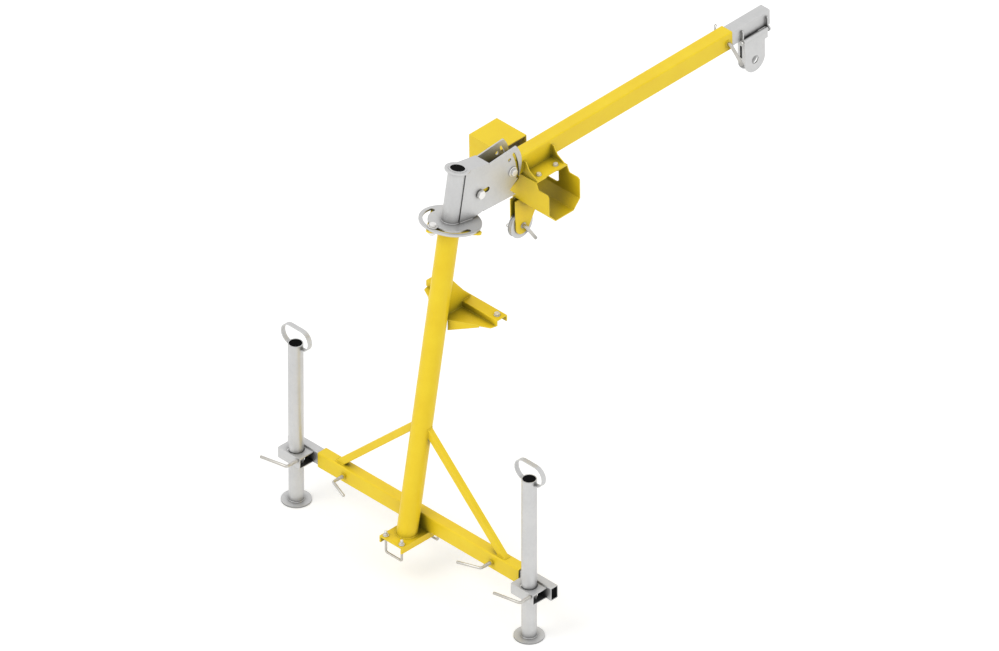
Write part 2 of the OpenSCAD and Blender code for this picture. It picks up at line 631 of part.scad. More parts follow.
// Outlines of the trough's near and far walls, seen along the boom
near_wall = [[trough_mouth, -300], [trough_mouth, wall_top - 8], [trough_mouth - 8, wall_top],
    [118, wall_top], [shelf_x - 4, tab_top], [14, tab_top], [14, -61], [-39, mid_top],
    [-hood_x1, mid_top], [-hood_x1, -300]];
far_wall = [[trough_mouth, -300], [trough_mouth, wall_top - 8], [trough_mouth - 8, wall_top],
    [118, wall_top], [shelf_x - 4, tab_top], [61, tab_top], [61, -131], [50, mid_top],
    [-hood_x1, mid_top], [-hood_x1, -300]];
module wall_outline(points, u0, u1) translate([0, u1, 0]) rotate([90, 0, 0])
    linear_extrude(u1 - u0) polygon(points);
tall_line = [for (p = trough_line) [p[0], p[1] == -60 ? tab_top : p[1]]];
module winch_trough() color(yellow) on_boom() {
    intersection() {
        along_x(-hood_x1, trough_mouth) polygon(sheet(tall_line, trough_t));
        union() {
            wall_outline(near_wall, seat_u - trough_half - 5, seat_u);
            wall_outline(far_wall, seat_u, seat_u + trough_half + 5);
        }
    }
    difference() {
        translate([58, seat_u - trough_half + 1, tab_top - trough_t])
            cube([shelf_x - 58, 2 * trough_half - 2, trough_t]);
        translate([57, seat_u - 30, tab_top - 10]) cube([60, 60, 20]);
        for (u = [-45, 45]) translate([shelf_x - 26, seat_u + u, tab_top - 10]) cylinder(d = 10.4, h = 20);
    }
}
hood_top = 3;
module winch_hood() color(yellow) on_boom() difference() {
    union() {
        translate([-hood_x1, seat_u - hood_l / 2, mid_top]) cube([hood_w, hood_l, hood_top - mid_top]);
        translate([-hood_x1, seat_u - trough_half, mid_top]) cube([hood_w, 2 * trough_half, 4]);
    }
    translate([-hood_x1 + 4, seat_u - hood_l / 2 + 4, mid_top - 1])
        cube([hood_w, hood_l - 8, hood_top - mid_top - 3]);
}

// Rope pulley under the trough
plate_gap = pulley_w / 2 + 1;
module pulley_plates() color(yellow) on_boom() for (s = [-1, 1])
    translate([s > 0 ? plate_gap : -plate_gap - 5, 0, 0]) difference() {
        along_x(0, 5) {
            translate([pulley_u, -pulley_n]) circle(r = 38);
            difference() {
                polygon([[pulley_u - 38, -pulley_n], [pulley_u - 38, -160], [pulley_u - 18, -160],
                    [pulley_u - 18, trough_low + 36], [seat_u - floor_half, trough_low],
                    [pulley_u + 92, trough_low], [pulley_u + 36, -pulley_n - 12]]);
                polygon(concat([[seat_u - trough_half, 0]], [for (i = [1:4]) trough_line[i]], [[500, 0]]));
            }
        }
        translate([0, pulley_u, -pulley_n]) x_rod(-10, 10, hand_pin_d / 2 + 0.2);
    }
module pulley() color(zinc) on_boom() translate([0, pulley_u, -pulley_n]) rotate([0, 90, 0]) {
    difference() {
        cylinder(r = pulley_r, h = pulley_w, center = true, $fn = 96);
        rotate_extrude($fn = 96) translate([pulley_r + 1, 0]) circle(r = 8, $fn = 32);
        cylinder(r = hand_pin_d / 2 + run_gap, h = pulley_w + 2, center = true);
    }
}
// Hand pin along +X with its handle hanging down, turned toward the boom's tip by tilt;
// clip_turn leans the clip's hole from upright
module hand_pin(x0, x1, arm, tilt, clip_turn) difference() {
    rotate([tilt, 0, 0]) translate([x0, 0, 0]) rotate([0, 90, 0]) bent_rod(hand_pin_d, x1 - x0, arm, 90);
    translate([x0 + 7, 0, 0]) rotate([clip_turn, 0, 0]) translate([0, 0, -20]) cylinder(d = 2.8, h = 40);
}
pin_back = plate_gap + 5 + 14;
module pulley_pin() color(zinc) on_boom() translate([0, pulley_u, -pulley_n])
    hand_pin(-pin_back, plate_gap + 12, 84, 33, 90);
module pulley_clip() color(zinc) on_boom() translate([-pin_back + 7, pulley_u, -pulley_n])
    rotate([90, 0, 0]) clip(hand_pin_d / 2);
module boom_pin() color(zinc) on_boom() translate([0, hand_pin_u, boom_rise])
    hand_pin(-boom_w / 2 - 16, boom_w / 2 + 9, 128, 26, 0);
module boom_pin_clip() color(zinc) on_boom() translate([-boom_w / 2 - 9, hand_pin_u, boom_rise])
    clip(hand_pin_d / 2);

// Inner boom with its hinge lugs; the pin's row of holes is one slot
lug_u = [inner_end - 158, inner_end - 24];
lug_t = 6;
hinge_x = inner_w / 2 + 11;
hinge_n = inner_under;
hinge_d = 10;
module inner_boom() color(zinc) on_boom() difference() {
    union() {
        translate([0, 0, boom_rise]) along_y(inner_end - inner_len, inner_end)
            tube_section(inner_w, inner_h, 4, 5);
        for (u = lug_u) {
            translate([inner_w / 2, u, hinge_n - 9]) cube([11, lug_t, 52]);
            translate([hinge_x, u, hinge_n]) rotate([-90, 0, 0]) cylinder(r = 12, h = lug_t);
            translate([inner_w / 2 + 4, u, hinge_n + 43]) rotate([-90, 0, 0])
                cylinder(r = 7, h = lug_t, $fn = 32);
        }
    }
    translate([hinge_x, inner_end - 200, hinge_n]) rotate([-90, 0, 0])
        cylinder(r = hinge_d / 2 + run_gap, h = 300);
    for (u = [0, -inner_travel]) translate([0, hand_pin_u + u, boom_rise])
        x_rod(-60, 60, hand_pin_d / 2 + 0.5);
    translate([-60, hand_pin_u - inner_travel, boom_rise - hand_pin_d / 2 - 0.5])
        cube([120, inner_travel, hand_pin_d + 1]);
}
module tip_hinge_rod() color(zinc) on_boom() translate([hinge_x, lug_u[0] - 3, hinge_n]) rotate([-90, 0, 0])
    cylinder(d = hinge_d, h = lug_u[1] - lug_u[0] + lug_t + 6);
block_u0 = lug_u[0] + lug_t + 1;
block_u1 = lug_u[1] - 1;
block_hole_u = inner_end - tip_hole_back;
block_top = hinge_n - face_gap;
// One side of the block, hung up to the given height
module tip_side(top) difference() {
    union() {
        translate([block_hole_u, -tip_hole_n]) circle(r = tip_r);
        translate([block_hole_u - tip_r, -tip_hole_n]) square([2 * tip_r, tip_hole_n + top]);
    }
    translate([block_hole_u, -tip_hole_n]) circle(d = tip_hole_d);
}
module tip_block() color(zinc) on_boom() difference() {
    union() {
        translate([hinge_x - 2.5, 0, 0]) along_x(0, 5) {
            tip_side(hinge_n - 30);
            translate([block_u0, hinge_n - 40]) square([block_u1 - block_u0, 40]);
        }
        translate([hinge_x + 2.5 - tip_w, 0, 0]) along_x(0, 5) tip_side(block_top);
        translate([hinge_x + 2.5 - tip_w, block_hole_u - tip_r, -tip_hole_n])
            cube([tip_w, 5, tip_hole_n + block_top]);
        translate([hinge_x, block_u0, hinge_n]) rotate([-90, 0, 0]) cylinder(d = 18, h = block_u1 - block_u0);
    }
    translate([hinge_x, block_u0 - 1, hinge_n]) rotate([-90, 0, 0])
        cylinder(r = hinge_d / 2 + run_gap, h = block_u1 - block_u0 + 2);
    translate([hinge_x - tip_w / 2 - 6, block_hole_u - tip_r - 1, -tip_hole_n + 24]) cube([12, 7, 56]);
}

base_plate();
drawbar_u_bolts();
u_bolt_nuts();
crossbeam();
brace_left();
brace_right();
mast();
mast_flange();
load_bracket();
load_bracket_bolts();
swivel_stop_bolt();
head_disc();
head_tube();
head_plug();
head_top_plate();
cheek_left();
cheek_right();
boom_pivot_bolt();
boom_lock_bolt();
boom_tube();
winch_shelf();
winch_trough();
winch_hood();
winch_bolts();
pulley_plates();
pulley_pin();
pulley_clip();
pulley();
boom_pin();
boom_pin_clip();
inner_boom();
tip_hinge_rod();
tip_block();
outrigger_tube_left();
outrigger_tube_right();
outrigger_plug_left();
outrigger_plug_right();
leg_bracket_left();
leg_bracket_right();
clamp_shoe_left();
clamp_shoe_right();
leg_tube_left();
leg_tube_right();
leg_foot_left();
leg_foot_right();
leg_handle_left();
leg_handle_right();
leg_plug_left();
leg_plug_right();
beam_screw_left();
beam_screw_right();
leg_screw_left();
leg_screw_right();
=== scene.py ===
import json
import math
import random

import bpy
from mathutils import Matrix, Vector


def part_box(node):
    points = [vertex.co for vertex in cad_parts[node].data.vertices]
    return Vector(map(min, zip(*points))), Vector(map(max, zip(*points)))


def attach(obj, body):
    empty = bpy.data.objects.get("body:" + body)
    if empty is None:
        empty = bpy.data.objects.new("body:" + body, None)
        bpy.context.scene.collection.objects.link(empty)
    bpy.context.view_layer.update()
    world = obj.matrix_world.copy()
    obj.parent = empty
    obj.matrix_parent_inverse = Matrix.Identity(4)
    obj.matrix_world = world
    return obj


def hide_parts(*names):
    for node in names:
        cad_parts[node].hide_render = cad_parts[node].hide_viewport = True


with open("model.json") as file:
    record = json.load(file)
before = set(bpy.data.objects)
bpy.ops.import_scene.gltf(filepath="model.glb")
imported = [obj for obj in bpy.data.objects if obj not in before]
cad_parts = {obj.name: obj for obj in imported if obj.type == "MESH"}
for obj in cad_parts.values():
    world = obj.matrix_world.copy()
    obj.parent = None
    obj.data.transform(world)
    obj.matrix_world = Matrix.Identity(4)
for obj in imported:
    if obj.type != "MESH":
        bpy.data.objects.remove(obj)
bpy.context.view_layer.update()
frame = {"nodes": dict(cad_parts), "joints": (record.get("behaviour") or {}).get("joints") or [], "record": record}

# Places taken from the frame, in metres
BEAM_LOW, BEAM_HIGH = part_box("crossbeam")
JOINT_AT = {joint["name"]: Vector(joint["pos_m"]) for joint in frame["joints"] if "pos_m" in joint}
AXIS_OF = {joint["name"]: Vector(joint["axis"]) for joint in frame["joints"]}

# Sizes that the solids have too, in metres
PLATE_TOP = 0.006
MAST_RADIUS = 0.04125
MAST_LENGTH = 1.3525
FLANGE_T = 0.008
DISC_TOP = 1.3608
HEAD_RADIUS = 0.035
CHEEK_X = 0.037
BRACKET_TOP = 0.944
SEAT_U = 0.318

# The mast's own frame: Z runs up its axis, Y points to the boom's side
LEAN = math.atan2(AXIS_OF["head_swivel"].y, AXIS_OF["head_swivel"].z)
MAST = Matrix.Translation(JOINT_AT["head_swivel"]) @ Matrix.Rotation(-LEAN, 4, "X")
# The boom's own frame: Y runs out along the boom, Z is square to it
TILT = math.atan2(AXIS_OF["boom_extension"].z, AXIS_OF["boom_extension"].y)
BOOM = Matrix.Translation(JOINT_AT["boom_tilt"]) @ Matrix.Rotation(TILT, 4, "X")
BOOM_BACK = BOOM.inverted()
# Turns of pieces that are made along +Z
DOWN = Matrix.Rotation(math.pi, 4, "X")
TO_LEFT = Matrix.Rotation(-math.pi / 2, 4, "Y")
TOWARD_FRONT = Matrix.Rotation(math.pi / 2, 4, "X")

# Each side's name and the sign of its X
SIDES = (("left", -1), ("right", 1))


# Camera
CAMERA_TARGET = Vector((0.0, 0.4736, 0.724))
CAMERA_BACK = Vector((1.0, -1.0, 1.0)).normalized()
CAMERA_DISTANCE = 105.9
LENS = 1000.0

camera_data = bpy.data.cameras.new("camera")
camera_data.lens = LENS
camera_data.sensor_width = 36.0
camera_data.clip_start = 1.0
camera_data.clip_end = 400.0
camera = bpy.data.objects.new("camera", camera_data)
bpy.context.scene.collection.objects.link(camera)
camera.location = CAMERA_TARGET + CAMERA_BACK * CAMERA_DISTANCE
camera.rotation_euler = (-CAMERA_BACK).to_track_quat("-Z", "Y").to_euler()
bpy.context.scene.camera = camera
bpy.context.scene.view_settings.view_transform = "Standard"


# Node helpers
def new_group(name, inputs, outputs):
    """A shader node group with its sockets; each is (name, kind) or (name, kind, value)."""
    group = bpy.data.node_groups.new(name, "ShaderNodeTree")
    for direction, sockets in (("INPUT", inputs), ("OUTPUT", outputs)):
        for given in sockets:
            made = group.interface.new_socket(given[0], in_out=direction, socket_type="NodeSocket" + given[1])
            if len(given) > 2:
                made.default_value = given[2]
    return group


def add_node(tree, kind, x=0, y=0, **settings):
    node = tree.nodes.new("ShaderNode" + kind if not kind.startswith("NodeGroup") else kind)
    node.location = (x, y)
    for name, value in settings.items():
        setattr(node, name, value)
    return node


def math_node(tree, operation, a, b=None, x=0, y=0):
    """A Math node whose inputs are numbers or sockets; returns its output."""
    node = add_node(tree, "Math", x, y, operation=operation)
    for index, value in enumerate((a, b)):
        if value is None:
            continue
        if isinstance(value, (int, float)):
            node.inputs[index].default_value = value
        else:
            tree.links.new(value, node.inputs[index])
    return node.outputs[0]


def mix_colour(tree, factor, a, b, x=0, y=0):
    """A Mix node whose inputs are numbers, colours or sockets; returns its colour."""
    node = add_node(tree, "Mix", x, y, data_type="RGBA", blend_type="MIX")
    for socket, value in ((node.inputs[0], factor), (node.inputs[6], a), (node.inputs[7], b)):
        if isinstance(value, (int, float, tuple)):
            socket.default_value = value
        else:
            tree.links.new(value, socket)
    return node.outputs[2]


def noise(tree, vector, scale, detail=2.0, rough=0.5, x=0, y=0):
    node = add_node(tree, "TexNoise", x, y)
    node.inputs["Scale"].default_value = scale
    node.inputs["Detail"].default_value = detail
    node.inputs["Roughness"].default_value = rough
    tree.links.new(vector, node.inputs["Vector"])
    return node.outputs["Fac"]


def remap(tree, value, low, high, to_low=0.0, to_high=1.0, x=0, y=0):
    node = add_node(tree, "MapRange", x, y, clamp=True)
    for name, number in (("From Min", low), ("From Max", high), ("To Min", to_low), ("To Max", to_high)):
        node.inputs[name].default_value = number
    tree.links.new(value, node.inputs["Value"])
    return node.outputs["Result"]


# Shared effects
def make_edge_highlight():
    """Mask of rounded-over edges for a painted highlight, broken up by noise, and a normal that rounds the edges.
    """
    group = new_group(
        "edge_highlight",
        [("Vector", "Vector"), ("Radius", "Float", 0.0015), ("Amount", "Float", 0.5)],
        [("Mask", "Float"), ("Normal", "Vector")],
    )
    source = add_node(group, "NodeGroupInput", -900)
    sink = add_node(group, "NodeGroupOutput", 500)
    rounded = add_node(group, "Bevel", -650, 200, samples=6)
    group.links.new(source.outputs["Radius"], rounded.inputs["Radius"])
    flat = add_node(group, "NewGeometry", -650, -50)
    dot = add_node(group, "VectorMath", -450, 100, operation="DOT_PRODUCT")
    group.links.new(rounded.outputs[0], dot.inputs[0])
    group.links.new(flat.outputs["Normal"], dot.inputs[1])
    edge = remap(group, dot.outputs["Value"], 0.995, 0.86, x=-250, y=100)
    patches = noise(group, source.outputs["Vector"], 55.0, 4.0, 0.6, -650, -300)
    broken = remap(group, patches, 0.42, 0.62, 0.45, 1.0, x=-250, y=-250)
    # Painted highlight strength along the edges, broken up by noise
    edge_lit = math_node(group, "MULTIPLY", edge, broken, 0, 0)
    scaled = math_node(group, "MULTIPLY", edge_lit, source.outputs["Amount"], 200, 0)
    group.links.new(scaled, sink.inputs["Mask"])
    group.links.new(rounded.outputs[0], sink.inputs["Normal"])
    return group


def make_corner_shade():
    """Painted shade that darkens corners, its strength broken into patches."""
    group = new_group(
        "corner_shade",
        [("Vector", "Vector"), ("Reach", "Float", 0.03), ("Amount", "Float", 0.5)],
        [("Mask", "Float")],
    )
    source = add_node(group, "NodeGroupInput", -800)
    sink = add_node(group, "NodeGroupOutput", 500)
    corners = add_node(group, "AmbientOcclusion", -500, 200, samples=6)
    group.links.new(source.outputs["Reach"], corners.inputs["Distance"])
    dark = remap(group, corners.outputs["AO"], 0.95, 0.35, x=-250, y=200)
    patches = noise(group, source.outputs["Vector"], 24.0, 5.0, 0.62, -500, -100)
    spread = remap(group, patches, 0.35, 0.7, 0.45, 1.0, x=-250, y=-100)
    # Painted shade in corners, stronger in some patches than others
    both = math_node(group, "MULTIPLY", dark, spread, 0, 0)
    scaled = math_node(group, "MULTIPLY", both, source.outputs["Amount"], 250, 0)
    group.links.new(scaled, sink.inputs["Mask"])
    return group


def make_coat_skin():
    """Height of a sprayed or dipped skin: broad waves with a fine stipple."""
    group = new_group(
        "coat_skin",
        [
            ("Vector", "Vector"),
            ("Wave", "Float", 140.0),
            ("Stipple", "Float", 900.0),
            ("Stipple share", "Float", 0.35),
        ],
        [("Height", "Float"), ("Tone", "Float")],
    )
    source = add_node(group, "NodeGroupInput", -800)
    sink = add_node(group, "NodeGroupOutput", 500)
    heights = []
    for row, name in enumerate(("Wave", "Stipple")):
        node = add_node(group, "TexNoise", -500, 250 - 300 * row)
        group.links.new(source.outputs["Vector"], node.inputs["Vector"])
        group.links.new(source.outputs[name], node.inputs["Scale"])
        node.inputs["Detail"].default_value = 3.0
        heights.append(node.outputs["Fac"])
    fine = math_node(group, "MULTIPLY", heights[1], source.outputs["Stipple share"], -200, -50)
    total = math_node(group, "ADD", heights[0], fine, 50, 100)
    group.links.new(total, sink.inputs["Height"])
    group.links.new(noise(group, source.outputs["Vector"], 9.0, 4.0, 0.6, -500, -400), sink.inputs["Tone"])
    return group


def make_hollow_shade():
    """Mask of deep, enclosed places, where little light comes in."""
    group = new_group(
        "hollow_shade",
        [("Vector", "Vector"), ("Reach", "Float", 0.12), ("Amount", "Float", 0.7)],
        [("Mask", "Float")],
    )
    source = add_node(group, "NodeGroupInput", -800)
    sink = add_node(group, "NodeGroupOutput", 300)
    open_sky = add_node(group, "AmbientOcclusion", -500, 200, samples=8)
    group.links.new(source.outputs["Reach"], open_sky.inputs["Distance"])
    drift = noise(group, source.outputs["Vector"], 6.0, 2.0, 0.5, -500, -100)
    wander = remap(group, drift, 0.3, 0.7, -0.03, 0.03, x=-250, y=-100)
    level = math_node(group, "ADD", open_sky.outputs["AO"], wander, -50, 0)
    shade = remap(group, level, 0.80, 0.30, x=0, y=100)
    scaled = math_node(group, "MULTIPLY", shade, source.outputs["Amount"], 150, 0)
    group.links.new(scaled, sink.inputs["Mask"])
    return group


EDGE_HIGHLIGHT = make_edge_highlight()
HOLLOW_SHADE = make_hollow_shade()
CORNER_SHADE = make_corner_shade()
COAT_SKIN = make_coat_skin()


def use_group(tree, group, vector, x=0, y=0, **values):
    node = add_node(tree, "Group", x, y)
    node.node_tree = group
    tree.links.new(vector, node.inputs["Vector"])
    for name, value in values.items():
        node.inputs[name.replace("_", " ")].default_value = value
    return node


def start_material(name):
    """A material with its Principled shader and the object coordinates that its patterns read."""
    material = bpy.data.materials.new(name)
    material.use_nodes = True
    tree = material.node_tree
    shader = tree.nodes["Principled BSDF"]
    place = add_node(tree, "TexCoord", -1500)
    return material, tree, shader, place.outputs["Object"]


def add_bump(tree, shader, height, normal, strength, distance):
    bump = add_node(tree, "Bump", -250, -400)
    bump.inputs["Strength"].default_value = strength
    bump.inputs["Distance"].default_value = distance
    tree.links.new(height, bump.inputs["Height"])
    tree.links.new(normal, bump.inputs["Normal"])
    tree.links.new(bump.outputs[0], shader.inputs["Normal"])


# Finishes; colours are linear
YELLOW_DEEP = (0.920, 0.655, 0.013, 1)
YELLOW_PALE = (0.96, 0.712, 0.022, 1)
YELLOW_SPECK = (0.76, 0.52, 0.018, 1)
# The dark corner and hollow tones below are painted shade; the pale edge tones are painted highlights
YELLOW_CORNER_SHADE = (0.22, 0.160, 0.012, 1)
YELLOW_HOLLOW_SHADE = (0.085, 0.088, 0.006, 1)
YELLOW_EDGE_HIGHLIGHT = (0.98, 0.80, 0.12, 1)
ZINC_CORNER_SHADE = (0.20, 0.19, 0.17, 1)
ZINC_HOLLOW_SHADE = (0.05, 0.05, 0.048, 1)
ZINC_EDGE_HIGHLIGHT = (0.80, 0.80, 0.78, 1)
BLACK_DEEP = (0.003, 0.003, 0.003, 1)
BLACK_PALE = (0.008, 0.008, 0.008, 1)
BLACK_EDGE_HIGHLIGHT = (0.03, 0.03, 0.03, 1)


def make_yellow_paint():
    """Satin yellow powder coat: slight drift of tone, stippled skin, painted edge highlights, painted shade in
    corners and hollows.
    """
    material, tree, shader, here = start_material("yellow_powder_coat")
    skin = use_group(tree, COAT_SKIN, here, -1200, 200, Wave=160.0, Stipple=1100.0, Stipple_share=0.4)
    drift = remap(tree, skin.outputs["Tone"], 0.35, 0.68, x=-1000)
    tone = mix_colour(tree, drift, YELLOW_DEEP, YELLOW_PALE, -800, 250)
    speckle = noise(tree, here, 420.0, 2.0, 0.7, -1200, -100)
    specks = remap(tree, speckle, 0.56, 0.72, 0.0, 0.12, x=-1000, y=-100)
    speckled = mix_colour(tree, specks, tone, YELLOW_SPECK, -600, 200)
    # Painted shade in the corners
    corner_shade = use_group(tree, CORNER_SHADE, here, -1200, -350, Reach=0.035, Amount=0.42)
    with_shade = mix_colour(tree, corner_shade.outputs["Mask"], speckled, YELLOW_CORNER_SHADE, -400, 150)
    # Painted shade in deep hollows
    deep = use_group(tree, HOLLOW_SHADE, here, -1200, -850, Reach=0.19, Amount=0.84)
    shaded = mix_colour(tree, deep.outputs["Mask"], with_shade, YELLOW_HOLLOW_SHADE, -300, 150)
    # Painted highlight along the edges
    edge = use_group(tree, EDGE_HIGHLIGHT, here, -1200, -600, Radius=0.0024, Amount=0.85)
    edge_lit = mix_colour(tree, edge.outputs["Mask"], shaded, YELLOW_EDGE_HIGHLIGHT, -200, 100)
    tree.links.new(edge_lit, shader.inputs["Base Color"])
    shader.inputs["Specular IOR Level"].default_value = 0.38
    roughness = remap(tree, skin.outputs["Tone"], 0.3, 0.7, 0.36, 0.48, x=-400, y=-150)
    tree.links.new(roughness, shader.inputs["Roughness"])
    add_bump(tree, shader, skin.outputs["Height"], edge.outputs["Normal"], 0.35, 0.0004)
    return material


def make_zinc(name, light, dark, rough, edge_light, hollow):
    """Zinc-coated steel: faint spangle, drifting tone and roughness, painted shade in corners and hollows, painted
    edge highlights.

    hollow is the reach and the amount of the painted shade in its deep places."""
    material, tree, shader, here = start_material(name)
    skin = use_group(tree, COAT_SKIN, here, -1200, 200, Wave=260.0, Stipple=1400.0, Stipple_share=0.3)
    spangle = add_node(tree, "TexVoronoi", -1200, 500)
    spangle.inputs["Scale"].default_value = 130.0
    tree.links.new(here, spangle.inputs["Vector"])
    flake = add_node(tree, "SeparateColor", -1000, 500)
    tree.links.new(spangle.outputs["Color"], flake.inputs[0])
    blend = math_node(tree, "MULTIPLY", flake.outputs[0], 0.3, -800, 500)
    wander = remap(tree, skin.outputs["Tone"], 0.35, 0.65, 0.0, 0.55, x=-1000)
    drift = math_node(tree, "ADD", blend, wander, -600, 400)
    tone = mix_colour(tree, drift, dark, light, -450, 300)
    # Painted shade in the corners
    corner_shade = use_group(tree, CORNER_SHADE, here, -1200, -350, Reach=0.02, Amount=0.5)
    corner_shaded = mix_colour(tree, corner_shade.outputs["Mask"], tone, ZINC_CORNER_SHADE, -350, 200)
    # Painted shade in deep hollows
    deep = use_group(tree, HOLLOW_SHADE, here, -1200, -850, Reach=hollow[0], Amount=hollow[1])
    with_shade = mix_colour(tree, deep.outputs["Mask"], corner_shaded, ZINC_HOLLOW_SHADE, -250, 200)
    # Painted highlight along the edges
    edge = use_group(tree, EDGE_HIGHLIGHT, here, -1200, -600, Radius=0.0012, Amount=edge_light)
    edge_lit = mix_colour(tree, edge.outputs["Mask"], with_shade, ZINC_EDGE_HIGHLIGHT, -100, 150)
    tree.links.new(edge_lit, shader.inputs["Base Color"])
    shader.inputs["Metallic"].default_value = 0.85
    roughness = remap(tree, drift, 0.0, 1.0, rough + 0.08, rough - 0.05, x=-400, y=-150)
    tree.links.new(roughness, shader.inputs["Roughness"])
    add_bump(tree, shader, skin.outputs["Height"], edge.outputs["Normal"], 0.2, 0.0002)
    return material


def make_black_plastic():
    """Moulded black end caps: fine grain, a drifting tone and painted edge highlights."""
    material, tree, shader, here = start_material("moulded_black_plastic")
    skin = use_group(tree, COAT_SKIN, here, -1200, 200, Wave=700.0, Stipple=2600.0, Stipple_share=0.5)
    drift = remap(tree, skin.outputs["Tone"], 0.4, 0.7, x=-900)
    tone = mix_colour(tree, drift, BLACK_DEEP, BLACK_PALE, -600, 200)
    # Painted highlight along the edges
    edge = use_group(tree, EDGE_HIGHLIGHT, here, -1200, -500, Radius=0.0008, Amount=0.3)
    edge_lit = mix_colour(tree, edge.outputs["Mask"], tone, BLACK_EDGE_HIGHLIGHT, -400, 100)
    tree.links.new(edge_lit, shader.inputs["Base Color"])
    shader.inputs["Specular IOR Level"].default_value = 0.03
    roughness = remap(tree, skin.outputs["Tone"], 0.3, 0.7, 0.6, 0.75, x=-400, y=-150)
    tree.links.new(roughness, shader.inputs["Roughness"])
    add_bump(tree, shader, skin.outputs["Height"], edge.outputs["Normal"], 0.3, 0.0002)
    return material


GALVANISED = ((0.645, 0.645, 0.64, 1), (0.595, 0.595, 0.595, 1))
BRIGHT_ZINC = ((0.90, 0.89, 0.87, 1), (0.80, 0.79, 0.77, 1))
DULL_ZINC = ((0.62, 0.60, 0.56, 1), (0.50, 0.48, 0.44, 1))
YELLOW_ZINC = ((0.34, 0.29, 0.19, 1), (0.26, 0.22, 0.14, 1))
FINISH = {
    "yellow_paint": make_yellow_paint(),
    "galvanised_steel": make_zinc("hot_dip_galvanised", *GALVANISED, 0.44, 0.3, (0.07, 0.9)),
    "plated_hardware": make_zinc("bright_zinc_plate", *BRIGHT_ZINC, 0.34, 0.35, (0.02, 0.4)),
    "black_plastic": make_black_plastic(),
}
# Bent rods and spring wire are plated too, but duller than the bolts
PLATED_ROD = make_zinc("dull_zinc_rod", *DULL_ZINC, 0.30, 0.35, (0.02, 0.5))
SPRING_WIRE = make_zinc("yellow_zinc_wire", *YELLOW_ZINC, 0.34, 0.2, (0.02, 0.5))
for row in frame["record"]["subparts"]:
    node = frame["nodes"][row["node"]]
    if not node.material_slots:
        node.data.materials.append(None)
    for material_slot in node.material_slots:
        material_slot.material = FINISH[row["material_slot"]]
frame["nodes"]["drawbar_u_bolts"].material_slots[0].material = PLATED_ROD


# Modelling helpers
def finish_piece(piece, name, body, slot, place=None, stands_for=(), finish=None):
    """Names a piece, puts its place into its mesh, gives it its finish and its body.

    finish is given where it differs from the slot's own."""
    if place is not None:
        piece.data.transform(place @ piece.matrix_world)
        piece.matrix_world = Matrix.Identity(4)
        if place.determinant() < 0:
            piece.data.flip_normals()
    piece.name = name
    piece.data.name = name
    piece.data.materials.clear()
    piece.data.materials.append(finish or FINISH[slot])
    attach(piece, body)
    if stands_for:
        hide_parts(*stands_for)
    return piece


def swept(name, points, radius, shares=None, closed=False, sides=3):
    """A round rod, wire or bead along a line of points; shares scale its radius at each point."""
    bpy.ops.object.select_all(action="DESELECT")
    curve = bpy.data.curves.new(name, "CURVE")
    curve.dimensions = "3D"
    curve.bevel_depth = radius
    curve.bevel_resolution = sides
    curve.use_fill_caps = not closed
    spline = curve.splines.new("POLY")
    spline.points.add(len(points) - 1)
    for index, point in enumerate(points):
        spline.points[index].co = (*point, 1.0)
        spline.points[index].radius = 1.0 if shares is None else shares[index]
    spline.use_cyclic_u = closed
    piece = bpy.data.objects.new(name, curve)
    bpy.context.scene.collection.objects.link(piece)
    piece.select_set(True)
    bpy.context.view_layer.objects.active = piece
    bpy.ops.object.convert(target="MESH")
    piece = bpy.context.view_layer.objects.active
    bpy.ops.object.mode_set(mode="EDIT")
    bpy.ops.mesh.select_all(action="SELECT")
    bpy.ops.mesh.remove_doubles(threshold=1e-6)
    bpy.ops.mesh.normals_make_consistent(inside=False)
    bpy.ops.object.mode_set(mode="OBJECT")
    bpy.ops.object.shade_smooth_by_angle(angle=math.radians(50))
    return piece


def spaced(points, pitch, closed=False):
    """Points at an even pitch along a line of points."""
    line = [Vector(point) for point in points]
    if closed:
        line.append(line[0])
    lengths = [(b - a).length for a, b in zip(line, line[1:])]
    count = max(2, round(sum(lengths) / pitch))
    made = []
    index, passed = 0, 0.0
    for step in range(count if closed else count + 1):
        along = sum(lengths) * step / count
        while index < len(lengths) - 1 and along > passed + lengths[index]:
            passed += lengths[index]
            index += 1
        made.append(line[index].lerp(line[index + 1], min(1.0, (along - passed) / lengths[index])))
    return made


RIPPLE_PITCH = 0.0024
dice = random.Random(11)


def weld(name, body, slot, lines, radius=0.0030):
    """Weld beads with ripples along each line; a line is (points, closed)."""
    beads = []
    for points, closed in lines:
        line = spaced(points, RIPPLE_PITCH, closed)
        shares = [(1.0 if index % 2 else 0.84) + dice.uniform(-0.05, 0.05) for index in range(len(line))]
        if not closed:
            shares[0] = shares[-1] = 0.35
        beads.append(swept(name, line, radius, shares, closed, 2))
    joined = join(beads)
    return finish_piece(joined, name, body, slot)


def join(pieces):
    """Joins the pieces into the first."""
    bpy.ops.object.select_all(action="DESELECT")
    for piece in pieces:
        piece.select_set(True)
    bpy.context.view_layer.objects.active = pieces[0]
    if len(pieces) > 1:
        bpy.ops.object.join()
    return bpy.context.view_layer.objects.active


def ring(centre, axis, radius, count=48, stretch=1.0, place=None):
    """Points of a circle square to an axis letter; stretch lengthens it along its second direction."""
    made = []
    for index in range(count):
        turn = 2 * math.pi * index / count
        a, b = radius * math.cos(turn), radius * stretch * math.sin(turn)
        offset = {"X": (0, a, b), "Y": (a, 0, b), "Z": (a, b, 0)}[axis]
        point = Vector(centre) + Vector(offset)
        made.append(place @ point if place is not None else point)
    return made


def in_boom(*points):
    """Points given across, along and square to the boom, from its pivot."""
    return [BOOM @ Vector(point) for point in points]


